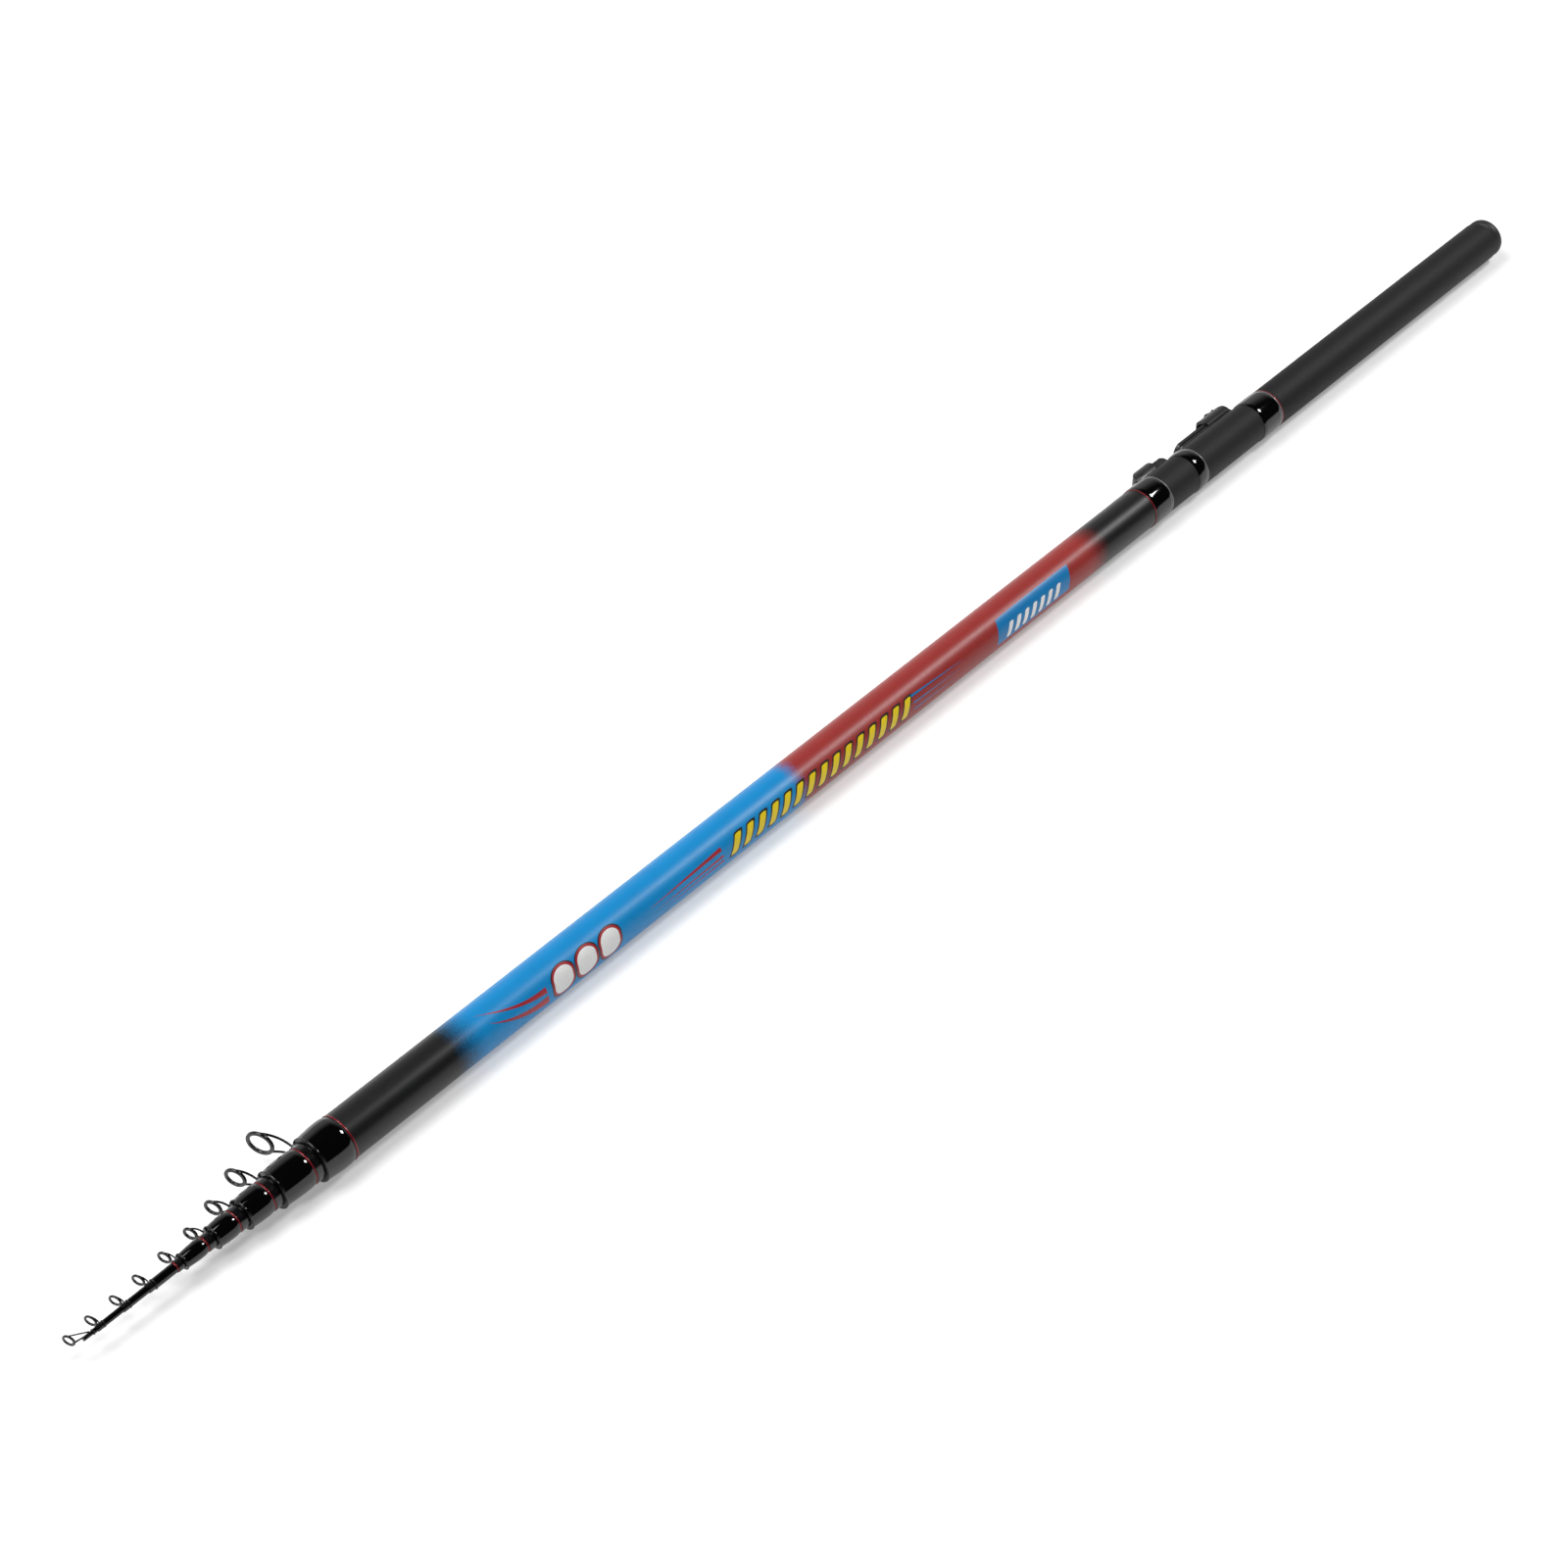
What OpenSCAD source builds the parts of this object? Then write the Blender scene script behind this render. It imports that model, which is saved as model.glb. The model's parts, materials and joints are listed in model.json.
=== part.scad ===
// Telescopic float rod with line guides and a plate reel seat, closed for carrying.
// The rod lies along X: the tip points to -X, the butt to +X, the guides and the reel seat to +Y.
// The origin is on the rod's axis, in the middle of the bare handle.
// Shapes are drawn along Z first, as stations from the rear edge of the butt tube towards the tip.

/* [Butt tube] */
// Outer diameter of the butt tube
butt_od = 26; // [25:0.5:30]
// Length of the butt tube from its rear edge to its mouth
butt_len = 1058; // [800:1:1300]
// Bore of the butt tube at its mouth
butt_mouth_bore = 21.4; // [20.8:0.1:22]
// Outer diameter of the butt tube at its mouth, under the whipping
butt_nose_od = 23.4; // [23:0.1:24.5]
// Length over which the butt tube narrows to its mouth
butt_nose_len = 18; // [12:0.5:30]
// Height of the soft coat on the handle over the butt tube
grip_t = 0.2; // [0.2:0.05:0.4]
// Bare tube at each end of that coat
grip_gap = 1; // [0.5:0.25:3]
// Loss of diameter of every tube over each metre of its length
taper_per_m = 2.1; // [1.6:0.1:2.4]

/* [Sections] */
// Walls of sections 2 to 5
sec_wall = [1.1, 1.0, 0.9, 0.8]; // [0.6:0.05:1.3]
// Lengths that sections 2 to 5 show in the closed rod
sec_show = [25, 20, 18.5, 19]; // [16:0.5:40]
// Length that each section keeps inside the one behind it in the open rod
overlap = 75; // [50:1:120]
// Radial gap of a section in the mouth that stops it
jam_gap = 0.05; // [0.03:0.01:0.1]
// Gap between pieces that meet end to end in the closed rod
stack_gap = 0.3; // [0.2:0.05:0.5]
// Room between the cap's pad and the tail of section 2
tail_gap = 3; // [1:0.5:10]
// Outer diameter of the tip section at its end
tip_end_od = 1.3; // [1:0.05:1.5]

/* [Whippings] */
// Height of the lacquered whipping over a section's tube
whip_t = 1.3; // [1:0.05:1.8]
// Height of the rolled rim over a section's tube
rim_t = 0.7; // [0.5:0.05:1]
// Radius of the rolled rim's bead
rim_bead = 0.6; // [0.4:0.05:0.8]
// Width of a ring of coloured thread
thread_w = 0.9; // [0.6:0.1:1.5]
// Height of a ring of coloured thread over the whipping beside it
thread_t = 0.12; // [0.05:0.01:0.2]
// Height of the whippings over the butt tube
butt_whip_t = 0.7; // [0.6:0.05:1.2]
// Length of the whipping at the butt tube's mouth
nose_whip_len = 19.5; // [19:0.5:40]
// Gap between a piece and the tube that it is bound or glued to
bond_gap = 0.02; // [0.01:0.01:0.05]

/* [Reel seat] */
// Length of the bare handle behind the reel seat's rear whipping
handle_len = 248.5; // [150:0.5:300]
// Lengths of the rear, middle and front whippings of the reel seat
seat_whip_len = [20, 9.5, 18]; // [8:0.5:40]
// Room between the rear whipping and the rail
rail_setback = 1.5; // [1:0.5:20]
// Length of the rail
rail_len = 54; // [48:0.5:80]
// Room between the rail and the middle whipping
rail_gap = 4; // [1:0.5:8]
// Length of bare tube between the middle and the front whipping
hood_bay = 27; // [26:0.5:40]
// Height of the surface that carries the reel's foot over the butt tube
seat_rise = 3.6; // [3.2:0.05:4.5]
// Width of the rail
rail_w = 12; // [11:0.2:12.6]
// Radius of the rail's rounded front end
rail_round = 6.6; // [6.5:0.1:10]
// Width of the rail's neck, between its two grooves
rail_neck_w = 9; // [8:0.2:9.4]
// Height of the rail's base over the butt tube
rail_base_t = 0.6; // [0.5:0.05:0.8]
// Height of the rail's grooves
groove_h = 0.9; // [0.8:0.05:1]
// Thickness of the thin feet under the whippings
foot_t = 0.4; // [0.3:0.05:0.5]
// Angle that a thin foot covers on the tube
foot_arc = 36; // [20:1:50]
// Reach of the outer thin feet under their whippings
foot_reach = 12; // [8:0.5:14]
// Height of the pockets that take the ends of the reel's foot
pocket_h = 4.6; // [4.4:0.1:5]
// Radius of the round roof inside a pocket
pocket_r = 5.6; // [5.2:0.1:5.9]
// Wall over a pocket
hood_wall = 0.9; // [0.8:0.05:1.3]
// Length of the front hood from its mouth to its toe
hood_len = 19.5; // [18:0.5:24]
// Depth of the front hood's pocket
hood_depth = 10; // [9:0.5:11]
// Length of the front hood's toe over the front whipping
hood_toe = 2; // [1:0.5:6]
// Gap between the toe and the front whipping
toe_gap = 0.25; // [0.15:0.05:0.4]
// Thickness of the toe's edge
toe_t = 0.5; // [0.4:0.05:0.8]
// Bevel of the front hood's foot plate
plate_bevel = 2; // [1:0.25:2.5]
// Length of the sliding hood
slider_len = 22; // [20:0.5:32]
// Length of the sliding hood's roof over its pocket
slider_roof = 8; // [7:0.5:11]
// Wall of the sliding hood beside the rail
slider_wall = 1.1; // [0.9:0.05:1.4]
// How far the sliding hood's skirts hang below the rail's grooves
skirt_drop = 0.55; // [0.3:0.05:0.6]
// Room behind the sliding hood on the rail
slider_back = 1; // [0.5:0.5:6]
// Length of the slope at the sliding hood's rear end
slider_slope = 3; // [2:0.25:3.5]
// Length of the rounding at the sliding hood's front end
slider_nose = 5; // [3:0.5:7]
// Drop of the sliding hood's front edge from its crown
slider_drop = 1.4; // [0.8:0.1:1.6]
// Side gap of the sliding hood on the rail and of the lever in its slot
slide_gap = 0.2; // [0.1:0.05:0.25]

/* [Lock lever] */
// Width of the lever
lever_w = 7.6; // [6:0.2:8]
// Radius of the cam that grips the rail
cam_r = 2.4; // [2:0.1:2.5]
// Gap between the cam and the rail
cam_gap = 0.3; // [0.2:0.05:0.5]
// Distance of the pin from the sliding hood's rear end
pin_inset = 4.2; // [3.5:0.1:5]
// Radius of the lever's pin
pin_r = 1; // [0.8:0.05:1.2]
// Radial gap of the lever on its pin
pin_gap = 0.05; // [0.03:0.01:0.1]
// Height of the lever's back over the sliding hood
lever_rise = 0.1; // [0.05:0.05:0.8]
// Radius of the thumb scoop in the lever's back
scoop_r = 6; // [4:0.5:8]
// Depth of the thumb scoop
scoop_depth = 0.8; // [0.4:0.1:1]
// Bevel at the lever's front end
lever_bevel = 1; // [0.5:0.1:1.5]

/* [Butt cap] */
// Length of the cap's flange behind the butt tube
cap_flange = 8; // [4:0.5:15]
// Radius of the rounding on the cap's rear edge
cap_round = 2; // [1:0.25:3]
// Inset of the cap's flange from the tube's surface
cap_inset = 0.1; // [0.05:0.05:0.5]
// Length of the plug inside the tube
plug_len = 18; // [16:0.5:30]
// Radial gap of the plug in the tube
plug_gap = 0.35; // [0.2:0.05:0.5]
// Radius of the seal rings' section
seal_r = 0.9; // [0.7:0.05:1.1]
// Stations of the seal rings along the plug
seal_z = [4.5, 11.5]; // [3:0.5:14]
// Room beside a seal ring in its groove
seal_room = 0.05; // [0.02:0.01:0.1]
// Radial gap of the seal rings in the tube
seal_gap = 0.04; // [0.02:0.01:0.1]
// Thickness of the pad that the sections land on
pad_t = 2; // [1:0.25:4]
// Inset of the pad from the plug's side
pad_inset = 0.5; // [0.2:0.1:2]

/* [Section guides] */
// Outer diameters of the rings of guides 1 to 4
guide_od = [15.4, 12, 9.8, 8]; // [7:0.1:16]
// Heights of the ring centres of guides 1 to 4 over the rod's axis
guide_rise = [26.9, 19.6, 13.6, 9.8]; // [9.6:0.1:30]
// Steps forward from the foot to the ring of guides 1 to 4
guide_step = [8, 5.6, 5.2, 4.4]; // [3:0.1:10]
// Thickness of the ring bands of guides 1 to 4
guide_band = [1.1, 1.0, 0.9, 0.8]; // [0.6:0.05:1.3]
// Walls of the ceramic rings in guides 1 to 4
liner_wall = [1.0, 0.85, 0.75, 0.65]; // [0.5:0.05:1.1]
// Wire diameters of the legs of guides 1 to 4
leg_d = [1.3, 1.2, 1.05, 0.9]; // [0.7:0.05:1.6]
// Length of the collar that holds a section guide
collar_len = 4.3; // [3.5:0.1:6]
// Angle by which all the rings lean towards the tip
guide_lean = 20; // [5:1:30]

/* [Slip guides] */
// Bores of the slip sleeves 5 to 8, which stop on the tip where it is as thick
sleeve_bore = [4.2, 3.1, 2.5, 1.9]; // [1.8:0.05:4.4]
// Walls of the slip sleeves
sleeve_wall = [0.6, 0.5, 0.45, 0.4]; // [0.35:0.05:0.7]
// Lengths of the slip sleeves
sleeve_len = [17.2, 14.9, 14.9, 6]; // [5:0.1:25]
// Share of the tip's travel that each sleeve slides back along the tip
sleeve_lag = [0.8, 0.6, 0.4, 0.2]; // [0.1:0.05:0.9]
// Outer diameters of the rings of guides 5 to 8
slip_od = [7.6, 7.2, 6.9, 6.8]; // [5:0.1:8]
// Heights of the ring centres of guides 5 to 8 over the rod's axis
slip_rise = [8.2, 7.2, 6.2, 5.8]; // [5:0.1:9]
// Steps forward from the foot to the ring of guides 5 to 8
slip_step = [3, 2.4, 2.2, 2.1]; // [2:0.1:4]
// Thickness of the ring bands of guides 5 to 8
slip_band = [0.7, 0.65, 0.6, 0.6]; // [0.5:0.05:0.8]
// Walls of the ceramic rings in guides 5 to 8
slip_liner_wall = [0.6, 0.55, 0.5, 0.5]; // [0.4:0.05:0.7]
// Wire diameter of the legs of guides 5 to 8
slip_leg_d = 0.75; // [0.6:0.05:0.9]
// Wall of the collars of guides 5 to 8
slip_collar_wall = 0.4; // [0.3:0.05:0.5]
// Length of the collars of guides 5 to 8
slip_collar_len = 3.2; // [2.5:0.1:4]
// Height and radius of the rolled front rim of a slip sleeve
sleeve_bead = 0.3; // [0.2:0.05:0.4]

/* [Tip top] */
// Length of the tube that holds the tip top on the tip section
tt_tube_len = 5.2; // [4:0.1:8]
// Wall of that tube
tt_tube_wall = 0.45; // [0.3:0.05:0.6]
// Outer diameter of the tip top's ring
tt_od = 7; // [4.5:0.1:8]
// Height of the ring's centre over the rod's axis
tt_rise = 4.5; // [4:0.1:6]
// Step forward from the end of the tip section to the ring
tt_step = 4.6; // [4:0.1:8]
// Thickness of the ring's band
tt_band = 0.6; // [0.5:0.05:0.7]
// Wall of the ceramic ring
tt_liner_wall = 0.5; // [0.4:0.05:0.6]
// Wire diameter of the tip top's legs
tt_leg_d = 0.7; // [0.5:0.05:0.8]

/* [Hidden] */
$fn = 96;
// How far cutting shapes run past what they cut
over = 1;
SECTIONS = len(sec_show);
SLEEVES = len(sleeve_len);
taper = taper_per_m / 1000;
butt_r = butt_od / 2;
butt_tail_bore = butt_mouth_bore + taper * butt_len;

// Mouth of tube k: 0 is the butt, 1 to 4 are sections 2 to 5
function mouth(k) = k == 0 ? butt_len : mouth(k - 1) + sec_show[k - 1];
sec_len = mouth(1) - plug_len - pad_t - tail_gap;
function tail(k) = mouth(k) - sec_len;
function mouth_bore(k) = k == 0 ? butt_mouth_bore : mouth_od(k) - 2 * sec_wall[k - 1];
function tail_od(k) = mouth_bore(k - 1) - 2 * jam_gap + taper * overlap;
function mouth_od(k) = tail_od(k) - taper * sec_len;
function tube_r(k, z) = (tail_od(k) - taper * (z - tail(k))) / 2;

// Stations of one section's collar, thread ring and whipping
function collar_z(k) = mouth(k - 1) + stack_gap;
function thread_z(k) = collar_z(k) + collar_len;
function whip_z(k) = thread_z(k) + thread_w;
// Bore of what is bound to section k, and radius of its whipping
function bound_r(k) = tube_r(k, collar_z(k)) + bond_gap;
function whip_r(k) = mouth_od(k) / 2 + whip_t;

// Stations of the reel seat, from the rear whipping forwards
rear_whip_z = handle_len;
rail_z = rear_whip_z + seat_whip_len[0] + rail_setback;
mid_whip_z = rail_z + rail_len + rail_gap;
hood_z = mid_whip_z + seat_whip_len[1];
front_whip_z = hood_z + hood_bay;
seat_whip_z = [rear_whip_z, mid_whip_z, front_whip_z];
seat_y = butt_r + seat_rise;
groove_y = butt_r + rail_base_t;
flange_y = groove_y + groove_h;
roof_y = seat_y + pocket_h;
arch_y = roof_y - pocket_r;
hood_r = pocket_r + hood_wall;
hood_top_y = arch_y + hood_r;
hood_toe_z = front_whip_z + hood_toe;
hood_mouth_z = hood_toe_z - hood_len;
hood_toe_y = butt_r + butt_whip_t + toe_gap + toe_t;
slider_z = rail_z + slider_back;
slider_end_z = slider_z + slider_len;
slider_r = rail_w / 2 + slide_gap + slider_wall;
slider_top_y = arch_y + slider_r;
roof_z = slider_end_z - slider_roof;
pin_z = slider_z + pin_inset;
pin_y = seat_y + cam_gap + cam_r;
lever_top_y = slider_top_y + lever_rise;
lever_end_z = roof_z - 4 * slide_gap;

// Stations of the tip section and its slip sleeves
function sleeve_z(k) =
    k == 0 ? mouth(SECTIONS) + stack_gap : sleeve_z(k - 1) + sleeve_len[k - 1] + stack_gap;
tt_tube_z = sleeve_z(SLEEVES - 1) + sleeve_len[SLEEVES - 1] + stack_gap;
tip_end_z = tt_tube_z + tt_tube_len;
tip_tail_z = tip_end_z - sec_len;
tip_stop_z = tip_tail_z + overlap;
tip_travel = mouth(SECTIONS) - tip_stop_z;
tip_stop_r = mouth_bore(SECTIONS) / 2 - jam_gap;
function sleeve_stop_z(k) = sleeve_z(k) - sleeve_lag[k] * tip_travel;
tt_bore_r = tip_end_od / 2 + bond_gap;

echo(closed_length = tip_end_z + tt_step + cap_flange);
echo(section_travels = [for (k = [1 : SECTIONS]) mouth(k - 1) - overlap - tail(k)]);
echo(tip_travel = tip_travel);

// Turns what is drawn along Z, with the guides to +Y, into the rod's own frame
module along_rod() {
    rotate([0, -90, 0])
        translate([0, 0, -handle_len / 2])
            children();
}

// A ring of the given radii between two stations
module ring(r_in, r_out, z0, z1) {
    rotate_extrude()
        polygon([[r_in, z0], [r_out, z0], [r_out, z1], [r_in, z1]]);
}

// A turned bead
module bead(r, z, bead_r) {
    rotate_extrude()
        translate([r, z])
            circle(r = bead_r, $fn = 32);
}

// A side outline, given as stations and heights, with a width across the rod
module side_plate(w, outline) {
    rotate([0, -90, 0])
        translate([0, 0, -w / 2])
            linear_extrude(height = w)
                polygon(outline);
}

// A round bar between two points
module bar(p, q, d) {
    v = q - p;
    length = norm(v);
    translate(p)
        rotate([0, acos(v[2] / length), atan2(v[1], v[0])])
            cylinder(d = d, h = length, $fn = 32);
}

// The butt: tube, whippings and the fixed pieces of the reel seat
module butt_tube() {
    color("#2c2c2f")
        along_rod()
            rotate_extrude()
                polygon([
                    [butt_tail_bore / 2, 0],
                    [butt_r, 0],
                    [butt_r, grip_gap],
                    [butt_r + grip_t, grip_gap],
                    [butt_r + grip_t, handle_len - grip_gap],
                    [butt_r, handle_len - grip_gap],
                    [butt_r, butt_len - butt_nose_len],
                    [butt_nose_od / 2, butt_len],
                    [butt_mouth_bore / 2, butt_len]
                ]);
}

// Outer curve of a whipping: it swells behind its middle and thins towards the mouth
swell_start = 0.28;
function swell(s) = sin(180 * (swell_start + (1 - swell_start) * s));
SWELL_STEPS = 12;

module butt_whipping() {
    z0 = butt_len - nose_whip_len + thread_w;
    z_nose = butt_len - butt_nose_len;
    r_rim = butt_nose_od / 2 + rim_t;
    r_full = butt_r + butt_whip_t;
    z_rim = butt_len - rim_bead;
    color("#0b0b0d")
        along_rod()
            union() {
                rotate_extrude()
                    polygon(concat(
                        [[butt_nose_od / 2 + bond_gap, butt_len],
                         [butt_r + bond_gap, z_nose],
                         [butt_r + bond_gap, z0]],
                        [for (i = [0 : SWELL_STEPS])
                            let (s = i / SWELL_STEPS)
                            [r_rim + (r_full - r_rim) * swell(s), z0 + (z_rim - z0) * s]],
                        [[r_rim, butt_len]]
                    ));
                bead(r_rim, z_rim, rim_bead);
            }
}

module butt_thread_ring() {
    z0 = butt_len - nose_whip_len;
    color("#8c1c22")
        along_rod()
            ring(butt_r + bond_gap, butt_r + butt_whip_t + thread_t, z0, z0 + thread_w - bond_gap);
}

// A thin foot of the reel seat, bound to the tube by a whipping. It starts inside the tube's wall and is cut
// to the tube together with the piece that it belongs to.
module seat_foot(z0, z1, grow = 0) {
    half = foot_arc / 2 + grow / butt_r * 180 / PI;
    rotate([0, 0, 90 - half])
        rotate_extrude(angle = 2 * half)
            polygon([
                [butt_r - over, z0 - grow],
                [butt_r + foot_t + grow, z0 - grow],
                [butt_r + foot_t + grow, z1 + grow],
                [butt_r - over, z1 + grow]
            ]);
}

// The thin feet of the rail and of the front hood: half of the gap between them, and their hold in the
// thick pieces
foot_split = 0.4;
foot_root = 1;
module rail_feet(grow = 0) {
    seat_foot(rail_z - rail_setback - foot_reach, rail_z + foot_root, grow);
    seat_foot(mid_whip_z - rail_gap - foot_root, mid_whip_z + seat_whip_len[1] / 2 - foot_split, grow);
}

module hood_feet(grow = 0) {
    seat_foot(mid_whip_z + seat_whip_len[1] / 2 + foot_split, hood_z + foot_root, grow);
    seat_foot(front_whip_z - 2 * foot_root, front_whip_z + foot_reach, grow);
}

// Widths of coloured thread at the rear and front ends of the seat's whippings
rear_thread = [2 * thread_w, thread_w, thread_w];
front_thread = [0, 0, thread_w];
// Share of a seat whipping's height that it has at its ends
whip_end = 0.75;

// Whipping i of the reel seat, less the coloured thread at its ends and the feet under it
module seat_whipping(i) {
    z0 = seat_whip_z[i] + rear_thread[i];
    z1 = seat_whip_z[i] + seat_whip_len[i] - front_thread[i];
    color("#0b0b0d")
        along_rod()
            difference() {
                rotate_extrude()
                    polygon(concat(
                        [[butt_r + bond_gap, z1], [butt_r + bond_gap, z0]],
                        [for (j = [0 : SWELL_STEPS])
                            let (s = j / SWELL_STEPS)
                            [butt_r + butt_whip_t * (whip_end + (1 - whip_end) * sin(180 * s)),
                             z0 + (z1 - z0) * s]]
                    ));
                rail_feet(bond_gap);
                hood_feet(bond_gap);
            }
}

// A thread ring at one end of a seat whipping
module seat_ring(z0) {
    difference() {
        ring(butt_r + bond_gap, butt_r + butt_whip_t * whip_end + thread_t,
            z0, z0 + thread_w - bond_gap);
        rail_feet(bond_gap);
        hood_feet(bond_gap);
    }
}

module seat_silver_rings() {
    color("#c9c9cf")
        along_rod() {
            seat_ring(rear_whip_z + thread_w);
            seat_ring(mid_whip_z);
            seat_ring(front_whip_z);
        }
}

module seat_red_rings() {
    color("#8c1c22")
        along_rod() {
            seat_ring(rear_whip_z);
            seat_ring(front_whip_z + seat_whip_len[2] - thread_w + bond_gap);
        }
}

// Space of the butt tube, and of a whipping on it, that the seat's pieces keep clear of
module tube_space(z0, z1, r) {
    translate([0, 0, z0])
        cylinder(r = r, h = z1 - z0);
}

// A straight bar along the rod, symmetric about the guides' plane
module seat_bar(w, y0, y1, z0, z1) {
    translate([-w / 2, y0, z0])
        cube([w, y1 - y0, z1 - z0]);
}

module seat_rail() {
    end_z = rail_z + rail_len;
    color("#1a1a1c")
        along_rod()
            difference() {
                union() {
                    intersection() {
                        union() {
                            seat_bar(rail_w, 0, groove_y, rail_z, end_z);
                            seat_bar(rail_neck_w, 0, seat_y, rail_z, end_z);
                            seat_bar(rail_w, flange_y, seat_y, rail_z, end_z);
                        }
                        union() {
                            translate([0, -over, end_z - rail_round])
                                rotate([-90, 0, 0])
                                    cylinder(r = rail_round, h = 2 * seat_y);
                            seat_bar(3 * rail_w, -over, 2 * seat_y, rail_z - over, end_z - rail_round);
                        }
                    }
                    rail_feet();
                }
                tube_space(rear_whip_z, front_whip_z, butt_r + bond_gap);
            }
}

// Side outline of the front hood's roof: a quarter of an ellipse from above the crown down to the toe
ROOF_STEPS = 9;
crown_over = 0.3;
function roof_fall(z) = sqrt(1 - pow((z - hood_mouth_z) / hood_len, 2));
function hood_roof_y(z) = hood_toe_y + (hood_top_y + crown_over - hood_toe_y) * roof_fall(z);

// The front hood's outside: foot plate and roof
module hood_shell(inner_y) {
    side_plate(rail_w, [
        [hood_z + bond_gap, inner_y],
        [hood_z + bond_gap, seat_y - plate_bevel],
        [hood_z + plate_bevel, seat_y],
        [hood_mouth_z + over, seat_y],
        [hood_mouth_z + over, inner_y]
    ]);
    intersection() {
        translate([0, arch_y, hood_mouth_z])
            cylinder(r = hood_r, h = hood_len);
        side_plate(3 * hood_r, concat(
            [[hood_toe_z, inner_y], [hood_mouth_z, inner_y]],
            [for (i = [0 : ROOF_STEPS])
                let (z = hood_mouth_z + hood_len * sin(90 * i / ROOF_STEPS))
                [z, hood_roof_y(z)]]
        ));
    }
}

// The front hood's pocket, one wall below its roof
module hood_pocket() {
    z0 = hood_mouth_z - over;
    intersection() {
        translate([0, arch_y, z0])
            cylinder(r = pocket_r, h = hood_depth + over);
        side_plate(3 * pocket_r, concat(
            [[hood_mouth_z + hood_depth, seat_y], [z0, seat_y], [z0, roof_y + over]],
            [for (i = [0 : ROOF_STEPS])
                let (z = hood_mouth_z + hood_depth * i / ROOF_STEPS)
                [z, hood_roof_y(z) - hood_wall]]
        ));
    }
}

module seat_front_hood() {
    color("#1a1a1c")
        along_rod()
            difference() {
                union() {
                    difference() {
                        hood_shell(butt_r / 2);
                        hood_pocket();
                        tube_space(front_whip_z - toe_gap, hood_toe_z + over, butt_r + butt_whip_t + toe_gap);
                    }
                    hood_feet();
                }
                tube_space(mid_whip_z, hood_toe_z + foot_reach + over, butt_r + bond_gap);
            }
}

// The hood that slides along the rail, and its lock
module sliding_hood() {
    skirt_y = groove_y - skirt_drop;
    slot_w = lever_w + 2 * slide_gap;
    open_w = rail_w + 2 * slide_gap;
    z0 = slider_z - over;
    z1 = slider_end_z + over;
    crown_y = slider_top_y + crown_over;
    color("#161618")
        along_rod()
            difference() {
                intersection() {
                    translate([0, arch_y, slider_z])
                        cylinder(r = slider_r, h = slider_len);
                    side_plate(3 * slider_r, [
                        [slider_z, skirt_y],
                        [slider_z, seat_y + pocket_h / 3],
                        [slider_z + slider_slope, crown_y],
                        [slider_end_z - slider_nose, crown_y],
                        [slider_end_z - slider_nose / 3, crown_y - slider_drop / 2],
                        [slider_end_z, crown_y - slider_drop],
                        [slider_end_z, skirt_y]
                    ]);
                }
                seat_bar(open_w, flange_y - slide_gap, seat_y + slide_gap, z0, z1);
                seat_bar(open_w, 0, groove_y + slide_gap, z0, z1);
                seat_bar(rail_neck_w + 2 * slide_gap, 0, seat_y, z0, z1);
                intersection() {
                    translate([0, arch_y, roof_z - over])
                        cylinder(r = pocket_r, h = slider_roof + 2 * over);
                    seat_bar(3 * pocket_r, seat_y, 2 * seat_y, roof_z - over, z1);
                }
                seat_bar(slot_w, seat_y, 2 * seat_y, z0, roof_z);
                translate([-slider_r, pin_y, pin_z])
                    rotate([0, 90, 0])
                        cylinder(r = pin_r + bond_gap, h = 2 * slider_r, $fn = 32);
            }
}

// The pin that carries the lever, ending inside the sliding hood's cheeks
module lever_pin() {
    reach = sqrt(pow(slider_r, 2) - pow(pin_y - arch_y, 2)) - slide_gap;
    color("#b8b8bc")
        along_rod()
            translate([-reach, pin_y, pin_z])
                rotate([0, 90, 0])
                    cylinder(r = pin_r, h = 2 * reach, $fn = 32);
}

module lock_lever() {
    arm_y = pin_y - pin_r / 2;
    scoop_z = lever_end_z - scoop_r;
    cam_turn = 37;
    color("#1e1e21")
        along_rod()
            difference() {
                union() {
                    translate([-lever_w / 2, pin_y, pin_z])
                        rotate([0, 90, 0])
                            cylinder(r = cam_r, h = lever_w);
                    side_plate(lever_w, [
                        [pin_z, pin_y - cam_r],
                        [pin_z - cam_r * cos(cam_turn), pin_y + cam_r * sin(cam_turn)],
                        [pin_z, lever_top_y],
                        [lever_end_z - lever_bevel, lever_top_y],
                        [lever_end_z, lever_top_y - lever_bevel],
                        [lever_end_z, roof_y - hood_wall],
                        [lever_end_z - 2 * cam_r, arm_y]
                    ]);
                }
                translate([-lever_w, pin_y, pin_z])
                    rotate([0, 90, 0])
                        cylinder(r = pin_r + pin_gap, h = 2 * lever_w, $fn = 32);
                translate([-lever_w, lever_top_y + scoop_r - scoop_depth, scoop_z])
                    rotate([0, 90, 0])
                        cylinder(r = scoop_r, h = 2 * lever_w);
            }
}

// The cap that closes the butt: plug, seals and pad
plug_r = butt_tail_bore / 2 - taper * plug_len / 2 - plug_gap;
seal_out_r = butt_tail_bore / 2 - taper * plug_len / 2 - seal_gap;

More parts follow.
